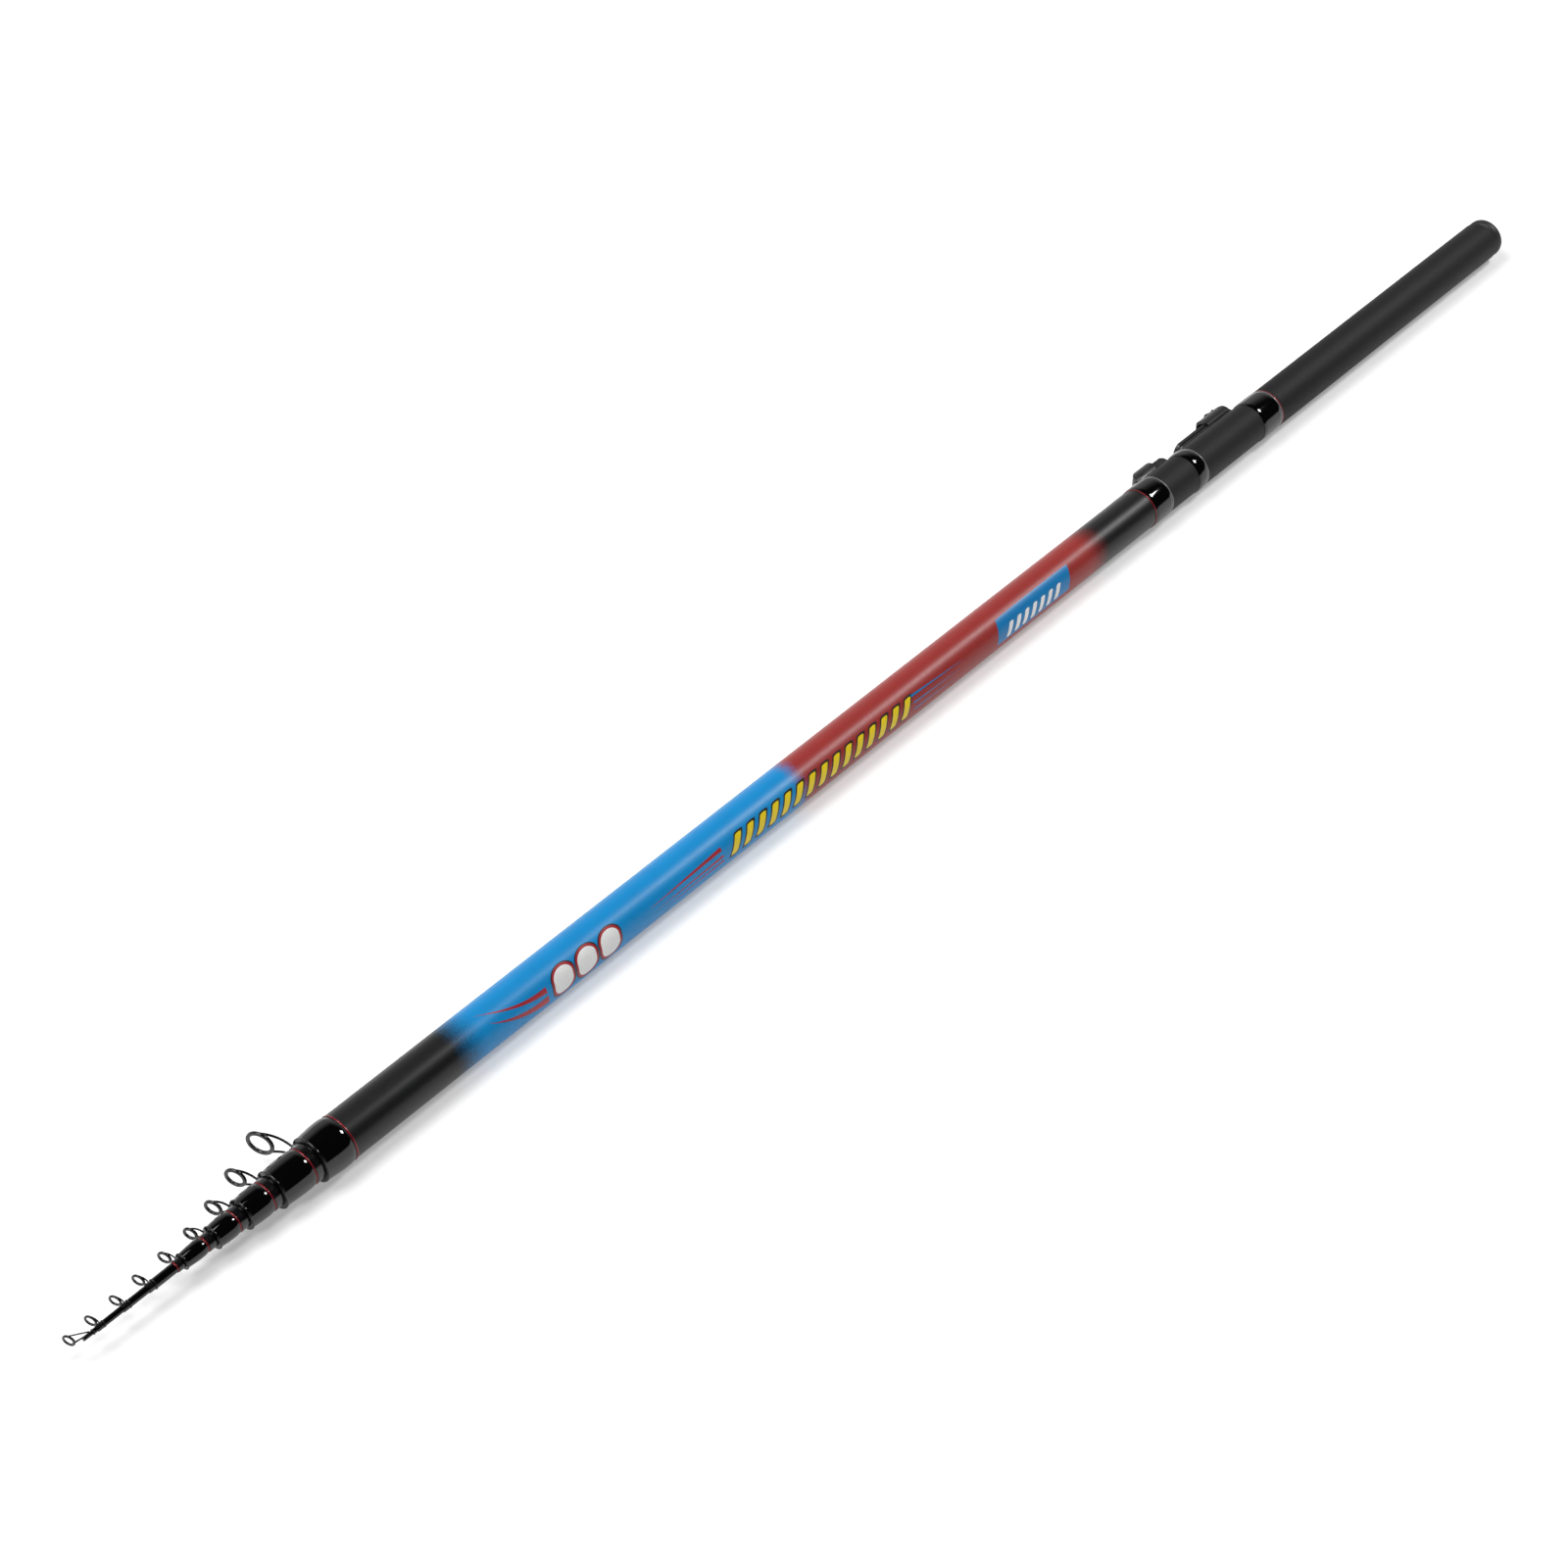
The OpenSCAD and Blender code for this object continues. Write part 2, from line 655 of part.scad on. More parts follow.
module end_cap() {
    flange_r = butt_r - cap_inset;
    color("#202022")
        along_rod()
            difference() {
                union() {
                    rotate_extrude()
                        polygon(concat(
                            [[0, -cap_flange]],
                            [for (a = [0 : 15 : 90])
                                [flange_r - cap_round + cap_round * sin(a),
                                 -cap_flange + cap_round - cap_round * cos(a)]],
                            [[flange_r, -stack_gap], [0, -stack_gap]]
                        ));
                    translate([0, 0, -stack_gap - over])
                        cylinder(r = plug_r, h = plug_len + stack_gap + over);
                }
                for (z = seal_z)
                    ring(seal_out_r - 2 * seal_r - bond_gap, plug_r + over,
                        z - seal_r - seal_room, z + seal_r + seal_room);
            }
}

module cap_seals() {
    color("#111111")
        along_rod()
            for (z = seal_z)
                bead(seal_out_r - seal_r, z, seal_r);
}

module cap_pad() {
    color("#3a3a3a")
        along_rod()
            translate([0, 0, plug_len + bond_gap])
                cylinder(r = plug_r - pad_inset, h = pad_t - bond_gap);
}

// Section k: tube, whipping and thread ring
module section_tube(k) {
    color("#141416")
        along_rod()
            rotate_extrude()
                polygon([
                    [tail_od(k) / 2 - sec_wall[k - 1], tail(k)],
                    [tail_od(k) / 2, tail(k)],
                    [mouth_od(k) / 2, mouth(k)],
                    [mouth_bore(k) / 2, mouth(k)]
                ]);
}

module section_whipping(k) {
    z0 = whip_z(k);
    z_rim = mouth(k) - rim_bead;
    r_rim = mouth_od(k) / 2 + rim_t;
    color("#0b0b0d")
        along_rod()
            difference() {
                union() {
                    rotate_extrude()
                        polygon(concat(
                            [[bound_r(k), mouth(k)], [bound_r(k), z0]],
                            [for (i = [0 : SWELL_STEPS])
                                let (s = i / SWELL_STEPS)
                                [r_rim + (whip_r(k) - r_rim) * swell(s), z0 + (z_rim - z0) * s]],
                            [[r_rim, mouth(k)]]
                        ));
                    bead(r_rim, z_rim, rim_bead);
                }
                tube_space(z0 - over, mouth(k) + over, bound_r(k));
            }
}

module section_thread_ring(k) {
    r_rim = mouth_od(k) / 2 + rim_t;
    r_out = r_rim + (whip_r(k) - r_rim) * swell(0) + thread_t;
    color("#8c1c22")
        along_rod()
            ring(bound_r(k), r_out, thread_z(k) + bond_gap, thread_z(k) + thread_w - bond_gap);
}

// Two bent wire legs from a collar to the sides of a leaning ring, whose centre is at (rise, z + step)
module guide_legs(rise, z, step, ring_r, foot_r, wire_d) {
    phi = atan2(ring_r, rise);
    reach = norm([rise, ring_r]) - foot_r;
    turn = 2 * atan2(step, reach);
    bend_r = reach / sin(turn);
    for (side = [-1, 1])
        rotate([0, 0, 90 + side * phi])
            translate([foot_r, 0, z + bend_r])
                rotate([90, 0, 0])
                    rotate([0, 0, -90])
                        rotate_extrude(angle = turn)
                            translate([bend_r, 0])
                                circle(d = wire_d, $fn = 32);
}

// Puts a ring drawn about Z at the guide's place, leaning towards the tip
module at_ring(rise, z) {
    translate([0, rise, z])
        rotate([guide_lean, 0, 0])
            children();
}

// Half width and broken edges of a guide's band, as shares of its thickness
band_half = 0.75;
band_cut = 0.3;
// How far a ceramic ring stands out of its band on each side, and its broken edges as a share of its wall
liner_over = 0.12;
liner_cut = 0.45;
// How far a leg's root sits inside the end of its collar, as a share of the leg's thickness
leg_root = 0.65;

// The band of a guide's ring
module ring_band(od, band) {
    half = band * band_half;
    cut = band * band_cut;
    r = od / 2;
    rotate_extrude()
        polygon([
            [r - band, -half], [r - cut, -half], [r, -half + cut],
            [r, half - cut], [r - cut, half], [r - band, half]
        ]);
}

// The ceramic ring inside a band, a little wider than the band
module ring_liner(od, band, wall) {
    half = band * band_half + liner_over;
    cut = wall * liner_cut;
    r_out = od / 2 - band - bond_gap;
    r_in = r_out - wall;
    rotate_extrude()
        polygon([
            [r_in, -half + cut], [r_in + cut, -half], [r_out, -half],
            [r_out, half], [r_in + cut, half], [r_in, half - cut]
        ]);
}

// A whole guide frame: collar, legs and band
module guide_frame(od, rise, z, step, band, wire_d, collar_in, collar_out, collar_l) {
    leg_inset = leg_root * wire_d;
    foot_r = collar_out - wire_d / 2;
    color("#151517")
        along_rod()
            difference() {
                union() {
                    ring(collar_in, collar_out, z, z + collar_l);
                    guide_legs(rise, z + leg_inset, step - leg_inset, (od - band) / 2, foot_r, wire_d);
                    at_ring(rise, z + step)
                        ring_band(od, band);
                }
                tube_space(z - over, z + collar_l + over, collar_in);
                at_ring(rise, z + step)
                    translate([0, 0, -2 * band])
                        cylinder(r = od / 2 - band, h = 4 * band);
            }
}

module section_guide_frame(k) {
    i = k - 1;
    collar_out = mouth_od(k) / 2 + rim_t + (whip_t - rim_t) * swell(0);
    guide_frame(guide_od[i], guide_rise[i], collar_z(k), guide_step[i], guide_band[i], leg_d[i],
        bound_r(k), collar_out, collar_len - bond_gap);
}

module section_guide_ring(k) {
    i = k - 1;
    color("#2a2a2e")
        along_rod()
            at_ring(guide_rise[i], collar_z(k) + guide_step[i])
                ring_liner(guide_od[i], guide_band[i], liner_wall[i]);
}

// The tip section: a tail that jams in section 5, then a taper that stops each slip sleeve in its place
module tip_tube() {
    color("#141416")
        along_rod()
            rotate_extrude()
                polygon(concat(
                    [[0, tip_tail_z],
                     [tip_stop_r + taper * overlap / 2, tip_tail_z],
                     [tip_stop_r, tip_stop_z]],
                    [for (k = [0 : SLEEVES - 1]) [sleeve_bore[k] / 2 - jam_gap, sleeve_stop_z(k)]],
                    [[tip_end_od / 2, tt_tube_z], [tip_end_od / 2, tip_end_z], [0, tip_end_z]]
                ));
}

module tip_top_frame() {
    tube_out = tt_bore_r + tt_tube_wall;
    ring_z = tip_end_z + tt_step;
    mid_r = (tt_od - tt_band) / 2;
    leg_turn = 37;
    color("#151517")
        along_rod()
            difference() {
                union() {
                    ring(tt_bore_r, tube_out, tt_tube_z, tip_end_z);
                    for (side = [-1, 1])
                        bar([side * tube_out * sin(leg_turn), tube_out * cos(leg_turn), tt_tube_z + tt_leg_d],
                            [side * mid_r, tt_rise, ring_z], tt_leg_d);
                    bar([0, tt_bore_r + tt_tube_wall / 2, tip_end_z - tt_leg_d],
                        [0, tt_rise - mid_r * cos(guide_lean), ring_z - mid_r * sin(guide_lean)], tt_leg_d);
                    at_ring(tt_rise, ring_z)
                        ring_band(tt_od, tt_band);
                }
                tube_space(tt_tube_z - over, tip_end_z, tt_bore_r);
                at_ring(tt_rise, ring_z)
                    translate([0, 0, -2 * tt_band])
                        cylinder(r = tt_od / 2 - tt_band, h = 4 * tt_band);
            }
}

module tip_top_ring() {
    color("#2a2a2e")
        along_rod()
            at_ring(tt_rise, tip_end_z + tt_step)
                ring_liner(tt_od, tt_band, tt_liner_wall);
}

// Slip sleeve k, 0 to 3 from the butt's side, with its guide
function sleeve_r(k) = sleeve_bore[k] / 2 + sleeve_wall[k];

module slip_sleeve(k) {
    z0 = sleeve_z(k);
    z1 = z0 + sleeve_len[k];
    color("#0e0e10")
        along_rod()
            difference() {
                union() {
                    ring(sleeve_bore[k] / 2, sleeve_r(k), z0, z1);
                    bead(sleeve_r(k), z1 - sleeve_bead, sleeve_bead);
                }
                tube_space(z0 - over, z1 + over, sleeve_bore[k] / 2);
            }
}

module slip_guide_frame(k) {
    r_in = sleeve_r(k) + bond_gap;
    guide_frame(slip_od[k], slip_rise[k], sleeve_z(k), slip_step[k], slip_band[k], slip_leg_d,
        r_in, r_in + slip_collar_wall, slip_collar_len);
}

module slip_guide_ring(k) {
    color("#2a2a2e")
        along_rod()
            at_ring(slip_rise[k], sleeve_z(k) + slip_step[k])
                ring_liner(slip_od[k], slip_band[k], slip_liner_wall[k]);
}

module sleeve_thread_ring(k) {
    z0 = sleeve_z(k) + slip_collar_len + bond_gap;
    color("#8c1c22")
        along_rod()
            ring(sleeve_r(k) + bond_gap, sleeve_r(k) + slip_collar_wall + thread_t, z0, z0 + thread_w);
}

butt_tube();
butt_whipping();
butt_thread_ring();
seat_whipping(0);  // seat_whipping_rear
seat_whipping(1);  // seat_whipping_middle
seat_whipping(2);  // seat_whipping_front
seat_silver_rings();
seat_red_rings();
seat_rail();
seat_front_hood();
sliding_hood();
lever_pin();
lock_lever();
end_cap();
cap_seals();
cap_pad();
section_tube(1);  // section_2_tube
section_whipping(1);  // section_2_whipping
section_thread_ring(1);  // section_2_thread_ring
section_guide_frame(1);  // guide_1_frame
section_guide_ring(1);  // guide_1_ring
section_tube(2);  // section_3_tube
section_whipping(2);  // section_3_whipping
section_thread_ring(2);  // section_3_thread_ring
section_guide_frame(2);  // guide_2_frame
section_guide_ring(2);  // guide_2_ring
section_tube(3);  // section_4_tube
section_whipping(3);  // section_4_whipping
section_thread_ring(3);  // section_4_thread_ring
section_guide_frame(3);  // guide_3_frame
section_guide_ring(3);  // guide_3_ring
section_tube(4);  // section_5_tube
section_whipping(4);  // section_5_whipping
section_thread_ring(4);  // section_5_thread_ring
section_guide_frame(4);  // guide_4_frame
section_guide_ring(4);  // guide_4_ring
tip_tube();
tip_top_frame();
tip_top_ring();
slip_sleeve(0);  // slip_sleeve_5
sleeve_thread_ring(0);  // sleeve_5_thread_ring
slip_guide_frame(0);  // guide_5_frame
slip_guide_ring(0);  // guide_5_ring
slip_sleeve(1);  // slip_sleeve_6
slip_guide_frame(1);  // guide_6_frame
slip_guide_ring(1);  // guide_6_ring
slip_sleeve(2);  // slip_sleeve_7
slip_guide_frame(2);  // guide_7_frame
slip_guide_ring(2);  // guide_7_ring
slip_sleeve(3);  // slip_sleeve_8
slip_guide_frame(3);  // guide_8_frame
slip_guide_ring(3);  // guide_8_ring
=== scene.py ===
"""Looks of a closed telescopic rod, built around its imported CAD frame.

All lengths are metres in the CAD frame, whose X axis is the rod's own. A station is a distance
from the cap's rear face towards the tip.
"""
import json
import math
from collections import namedtuple

import bmesh
import bpy
from bpy.props import FloatProperty, FloatVectorProperty, IntProperty, PointerProperty
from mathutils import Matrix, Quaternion, Vector

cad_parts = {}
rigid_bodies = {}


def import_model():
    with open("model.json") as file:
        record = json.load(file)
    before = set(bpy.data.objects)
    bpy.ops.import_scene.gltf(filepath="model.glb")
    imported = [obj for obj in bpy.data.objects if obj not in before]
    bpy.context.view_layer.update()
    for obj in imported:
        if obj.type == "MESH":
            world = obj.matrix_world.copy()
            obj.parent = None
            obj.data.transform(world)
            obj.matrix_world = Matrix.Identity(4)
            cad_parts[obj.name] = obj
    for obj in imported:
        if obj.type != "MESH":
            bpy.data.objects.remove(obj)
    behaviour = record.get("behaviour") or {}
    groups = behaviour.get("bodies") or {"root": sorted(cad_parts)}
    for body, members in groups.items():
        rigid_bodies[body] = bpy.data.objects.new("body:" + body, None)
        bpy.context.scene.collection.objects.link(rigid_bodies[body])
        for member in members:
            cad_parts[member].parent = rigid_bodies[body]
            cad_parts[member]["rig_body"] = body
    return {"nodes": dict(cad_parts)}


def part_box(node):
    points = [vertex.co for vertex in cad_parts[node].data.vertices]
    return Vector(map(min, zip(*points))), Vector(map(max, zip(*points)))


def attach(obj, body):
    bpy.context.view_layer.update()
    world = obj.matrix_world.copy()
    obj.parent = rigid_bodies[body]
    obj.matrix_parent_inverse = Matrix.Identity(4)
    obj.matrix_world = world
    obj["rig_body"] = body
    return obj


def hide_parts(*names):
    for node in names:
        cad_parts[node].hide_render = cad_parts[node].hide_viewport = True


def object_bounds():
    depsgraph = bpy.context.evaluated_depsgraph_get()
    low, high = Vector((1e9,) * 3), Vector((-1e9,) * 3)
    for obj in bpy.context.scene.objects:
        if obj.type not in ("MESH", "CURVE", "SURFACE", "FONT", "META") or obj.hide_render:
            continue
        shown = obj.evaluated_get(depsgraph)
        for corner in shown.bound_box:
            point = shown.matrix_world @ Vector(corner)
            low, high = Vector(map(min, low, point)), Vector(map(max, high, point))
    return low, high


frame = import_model()
CAD_BOX = [list(corner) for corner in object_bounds()]

bl_info = {
    "name": "Telescopic rod",
    "version": (1, 0, 0),
    "blender": (4, 5, 0),
    "location": "3D View > Sidebar > Rod",
    "description": "Dresses the CAD frame of a telescopic rod with its finishes and fine pieces",
    "category": "Object",
}

MM = 0.001

# Ends of the rod and of its butt tube, and the bare tube's radius
CAP_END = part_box("end_cap")[1].x
BUTT_REAR, BUTT_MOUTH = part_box("butt_tube")[1].x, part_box("butt_tube")[0].x
TUBE_R = 13.0 * MM

# Like pieces of the frame
SEAT_WHIPPINGS = ("seat_whipping_rear", "seat_whipping_middle", "seat_whipping_front")
SECTIONS = (2, 3, 4, 5)
SLEEVES = (5, 6, 7, 8)
GUIDES = tuple(f"guide_{i}" for i in range(1, 9)) + ("tip_top",)

# Stations over which the butt's finish fades into the next one
SATIN_FADE = (376 * MM, 386 * MM)
RED_FADE = (434 * MM, 456 * MM)
BLUE_FADE = (706.5 * MM, 719.5 * MM)
BLACK_FADE = (953.5 * MM, 977.5 * MM)
MIST = 9 * MM

# Points closer than this are one point, and a smaller radius lies on the axis
SAME_POINT = 1e-7
# Gaps that are joined in a CAD mesh, and edges that are then dropped
WELD, SLIVER = 2e-6, 1e-6
# Decimals of a metre to which the stations of a CAD mesh are told apart
STATION_DECIMALS = 6

# Turns up to which faces are shaded smooth, lines drawn round and faces joined as flat, and
# turns from which edges are bevelled
SMOOTH_ANGLE = math.radians(32)
ROUND_ANGLE = math.radians(24)
FLAT_ANGLE = math.radians(1.0)
BEVEL_ANGLE = math.radians(38)

# Broken edges at the ends of the tubes, and the fall of the butt's shoulder behind its mouth
MOUTH_LIP, REAR_LIP, SECTION_LIP = 0.2 * MM, 0.3 * MM, 0.15 * MM
SHOULDER_FALL = 0.05 * MM
# Middle of a quarter round, as a share of its radius
QUARTER_ROUND = 0.3

# Least height over the bore of a point on a piece's outside
WHIPPING_SKIN, RIM_SKIN, TIP_SKIN, SLEEVE_SKIN = 0.45 * MM, 0.3 * MM, 0.3 * MM, 0.1 * MM
# Lacquer that stays under a whipping's fallen end
END_WALL = 0.1 * MM

# Thread rings: height over the butt, depth below the CAD rings of the sections, and slack of a top
BUTT_RING_RISE, SECTION_RING_SINK, RING_TOP = 0.3 * MM, 0.3 * MM, 0.05 * MM
# Points on one turn, faces round the thread, its flatness, and steps across a ring's core
TURN_POINTS, THREAD_SIDES, THREAD_FLATNESS, CORE_STEPS = 72, 8, 0.22, 8
# Steps along a section's tube
TUBE_STEPS = 24
# Room between the tube and the first printed layer
PRINT_GAP = 0.01 * MM

# Places of the lamps, the point that they face, the floor's half width and the camera's film
KEY_LAMP, BACK_LAMP = Vector((1.46, -0.85, 2.46)), Vector((-1.30, 0.72, 2.28))
LAMP_AIM = Vector((-0.47, 0, 0))
FLOOR_REACH = 30.0
FILM_WIDTH = 36.0
CLIP_RANGE = (0.01, 50.0)

# Radii of a turned CAD node at one station
Ring = namedtuple("Ring", "x low high")
# A slanted bar, with its ends rounded over a share of its height
Bar = namedtuple("Bar", "width height slant roundness")
# A printed row: angles are degrees from the top of the rod, down the printed side
Mark = namedtuple("Mark", "name ink layer rows station pitch number angle", defaults=(0.0, 1, 0))
# Tapered lines from one station, towards the cap (way -1) or the tip (way 1)
Fan = namedtuple("Fan", "name ink station way bend lines")

# Finishes by name, once they are built
FINISHES = {}


def number_prop(name, text, value, **options):
    """A number that a user may change."""
    return FloatProperty(name=name, description=text, default=value, **options)


def length_prop(name, text, value):
    """A length that a user may change."""
    return number_prop(name, text, value, min=0.0, unit="LENGTH", precision=5)


def count_prop(name, text, value, least):
    """A whole number that a user may change."""
    return IntProperty(name=name, description=text, default=value, min=least)


def colour_prop(name, text, value):
    """A colour that a user may change."""
    return FloatVectorProperty(
        name=name, description=text, default=value, size=3, min=0.0, max=1.0, subtype="COLOR",
    )


class ROD_PG_sizes(bpy.types.PropertyGroup):
    """Sizes of what the CAD frame doesn't hold."""
    thread_d: length_prop("Thread", "Width of the thread in the coloured rings", 0.16 * MM)
    bead: length_prop("Bead", "Rise of a thread ring's middle over its edges", 0.10 * MM)
    end_drop: length_prop("Lacquer fall", "Fall of the lacquer at a whipping's ends", 0.36 * MM)
    end_reach: length_prop("Lacquer reach", "Length over which the lacquer falls", 2.8 * MM)
    edge: length_prop("Broken edge", "Rounding of the seat's edges", 0.12 * MM)
    decal: length_prop("Ink", "Thickness of one printed layer on the butt", 0.03 * MM)
    outline: length_prop("Outline", "Width of the lines round printed marks", 0.8 * MM)
    grip_coat: length_prop("Grip coat", "Height of the handle's coat over the tube", 0.2 * MM)
    grip_gap: length_prop("Grip gap", "Bare tube at each end of the handle's coat", 1.0 * MM)
    tube_sides: count_prop("Tube sides", "Faces round the butt and its whippings", 160, 24)
    small_sides: count_prop("Small sides", "Faces round the thin sections", 96, 16)


class ROD_PG_colours(bpy.types.PropertyGroup):
    """Colours of the rod, as linear values."""
    coat: colour_prop("Black coat", "Black from the cap to the red paint", (0.0052, 0.0047, 0.0049))
    black: colour_prop("Black paint", "Black behind the mouth", (0.0045, 0.0045, 0.0050))
    red: colour_prop("Red paint", "Red half of the painted tube", (0.335, 0.030, 0.026))
    blue: colour_prop("Blue paint", "Blue half of the painted tube", (0.002, 0.270, 0.640))
    yellow: colour_prop("Yellow ink", "Bars in the middle of the tube", (0.900, 0.670, 0.010))
    white: colour_prop("White ink", "Dashes and rounded marks", (0.910, 0.910, 0.900))
    crimson: colour_prop("Crimson ink", "Lines, flashes and outlines", (0.400, 0.020, 0.030))
    deep_blue: colour_prop("Deep blue ink", "Plate and lines on red", (0.004, 0.195, 0.480))
    dark: colour_prop("Dark ink", "Outermost lines round the marks", (0.022, 0.019, 0.016))
    thread_red: colour_prop("Red thread", "Rings at the whippings", (0.230, 0.008, 0.015))
    thread_silver: colour_prop("Silver thread", "Rings at the seat", (0.200, 0.200, 0.212))


class ROD_PG_stage(bpy.types.PropertyGroup):
    """Camera and light."""
    lens: number_prop("Lens", "Focal length on a 36 mm film, in millimetres", 74.25)
    azimuth: number_prop("Azimuth", "Side from which the camera looks, in degrees", -49.0)
    elevation: number_prop("Elevation", "Height of the camera's view, in degrees", 42.69)
    roll: number_prop("Roll", "Turn of the camera about its view, in degrees", -0.18)
    distance: length_prop("Distance", "From the camera to the rod", 1.7618)
    aim: length_prop("Aim", "Station that the camera faces", 0.7137)
    shift_right: number_prop("Right", "Shift of the aim to the right", -1.19 * MM, unit="LENGTH")
    shift_up: number_prop("Up", "Shift of the aim upwards", 1.52 * MM, unit="LENGTH")
    key_size: length_prop("Key size", "Side of the lamp in front", 0.7)
    key_power: number_prop("Key power", "Power of the lamp in front, in watts", 50.0)
    back_size: length_prop("Back size", "Side of the lamp behind", 1.4)
    back_power: number_prop("Back power", "Power of the lamp behind, in watts", 46.0)


class ShaderTree:
    """A shader node tree under construction, with short words for its nodes."""

    def __init__(self, owner, coords):
        owner.use_nodes = True
        self.nodes, self.links = owner.node_tree.nodes, owner.node_tree.links
        self.coords = self.nodes.new("ShaderNodeTexCoord").outputs[coords]

    def feed(self, socket, value):
        """Gives an input a plain value or the output of another node."""
        if isinstance(value, bpy.types.NodeSocket):
            self.links.new(value, socket)
        else:
            socket.default_value = value

    def add(self, kind, settings=None, **inputs):
        """Adds a node with its settings and its inputs, and gives its outputs."""
        node = self.nodes.new(kind)
        for key, value in (settings or {}).items():
            setattr(node, key, value)
        for key, value in inputs.items():
            self.feed(node.inputs[key.replace("_", " ")], value)
        return node.outputs

    def axis(self, index):
        """One of the coordinates."""
        return self.add("ShaderNodeSeparateXYZ", Vector=self.coords)[index]

    def length(self):
        """Distance from the origin."""
        length = self.add("ShaderNodeVectorMath", {"operation": "LENGTH"}, Vector=self.coords)
        return length["Value"]

    def math(self, operation, a, b):
        """The result of an operation on two values, each a number or a socket."""
        node = self.nodes.new("ShaderNodeMath")
        node.operation = operation
        for socket, value in zip(node.inputs, (a, b)):
            self.feed(socket, value)
        return node.outputs[0]

    def span(self, socket, low, high, from_low=0.0, from_high=1.0):
        """Maps a value softly onto a span."""
        return self.add(
            "ShaderNodeMapRange", {"interpolation_type": "SMOOTHSTEP"}, Value=socket,
            From_Min=from_low, From_Max=from_high, To_Min=low, To_Max=high,
        )["Result"]


class Finish(ShaderTree):
    """A Principled material under construction."""

    def __init__(self, name):
        self.material = bpy.data.materials.new(name)
        super().__init__(self.material, "Object")
        self.shader = self.nodes["Principled BSDF"]

    def set(self, **values):
        """Sets sockets of the shader that are the same all over."""
        for key, value in values.items():
            self.shader.inputs[key.replace("_", " ")].default_value = value

    def put(self, key, socket):
        """Feeds a socket of the shader."""
        self.links.new(socket, self.shader.inputs[key])

    def mapped(self, **settings):
        """The coordinates, stretched or turned."""
        return self.add("ShaderNodeMapping", Vector=self.coords, **settings)["Vector"]

    def noise(self, scale, detail=2.0, stretch=(1, 1, 1)):
        """Soft noise, stretched along the axes."""
        vector = self.mapped(Scale=stretch)
        return self.add("ShaderNodeTexNoise", Vector=vector, Scale=scale, Detail=detail)["Fac"]

    def grain(self, scale):
        """Cells of a moulded grain."""
        return self.add("ShaderNodeTexVoronoi", Vector=self.coords, Scale=scale)["Distance"]

    def turns(self, pitch, lean=0.0):
        """Bands across the rod with the given pitch, leaning like a winding."""
        bands = {"wave_type": "BANDS", "bands_direction": "X"}
        # At scale 1 the texture repeats every pi / 10
        scale = math.pi / (10 * pitch)
        vector = self.mapped(Rotation=(0, 0, lean))
        return self.add("ShaderNodeTexWave", bands, Vector=vector, Scale=scale)["Fac"]

    def mix(self, socket, colour_a, colour_b):
        """A colour between two colours, each a triple or a socket."""
        node = self.nodes.new("ShaderNodeMix")
        node.data_type = "RGBA"
        self.links.new(socket, node.inputs["Factor"])
        for key, value in (("A", colour_a), ("B", colour_b)):
            target = next(s for s in node.inputs if s.name == key and s.type == "RGBA")
            self.feed(target, (*value, 1.0) if isinstance(value, tuple) else value)
        return next(s for s in node.outputs if s.type == "RGBA")

    def bump(self, height, strength, distance):
        """Relief from a height."""
        bump = self.add("ShaderNodeBump", Height=height, Strength=strength, Distance=distance)
        self.put("Normal", bump["Normal"])


def shade(colour, factor):
    """A lighter or darker version of a colour."""
    return tuple(min(1.0, c * factor) for c in colour)


def colours():
    """The scene's colours."""
    return bpy.context.scene.rod_colours


def sizes():
    """The scene's sizes."""
    return bpy.context.scene.rod_sizes


def made(name, build, **values):
    """The finish of that name, built on first use. None shares its name with the frame's own."""
    if name not in FINISHES:
        if name in bpy.data.materials:
            raise RuntimeError(f"the frame already has a material named {name}")
        finish = Finish(name)
        build(finish, **values)
        FINISHES[name] = finish.material
    return FINISHES[name]


def painted_butt(f):
    """Soft black handle, then sprayed bands of red, blue and black along the tube."""
    c = colours()
    spray = f.math("SUBTRACT", f.noise(scale=900.0, detail=3.0), 0.5)
    station = f.math("SUBTRACT", CAP_END, f.axis(0))
    station = f.math("ADD", station, f.math("MULTIPLY", spray, MIST))
    colour = tuple(c.coat)
    for paint, fade in ((c.red, RED_FADE), (c.blue, BLUE_FADE), (c.black, BLACK_FADE)):
        colour = f.mix(f.span(station, 0.0, 1.0, *fade), colour, tuple(paint))
    dull = f.span(f.noise(scale=70.0, detail=4.0), 0.0, 0.12)
    f.put("Base Color", f.mix(dull, colour, (0.0, 0.0, 0.0)))
    rough = f.span(station, 0.63, 0.38, *SATIN_FADE)
    uneven = f.span(f.noise(scale=500.0, detail=3.0), -0.03, 0.04)
    f.put("Roughness", f.math("ADD", rough, uneven))
    f.set(Specular_IOR_Level=0.37)
    f.bump(f.noise(scale=2600.0, detail=3.0), strength=0.10, distance=0.05 * MM)


def ink(f, colour):
    """Printed ink under the butt's satin varnish."""
    cover = f.span(f.noise(scale=700.0, detail=3.0), 0.0, 1.0)
    f.put("Base Color", f.mix(cover, shade(colour, 0.93), shade(colour, 1.05)))
    f.put("Roughness", f.span(f.noise(scale=500.0, detail=3.0), 0.33, 0.40))
    f.set(Specular_IOR_Level=0.45)
    f.bump(f.noise(scale=2600.0), strength=0.08, distance=0.05 * MM)


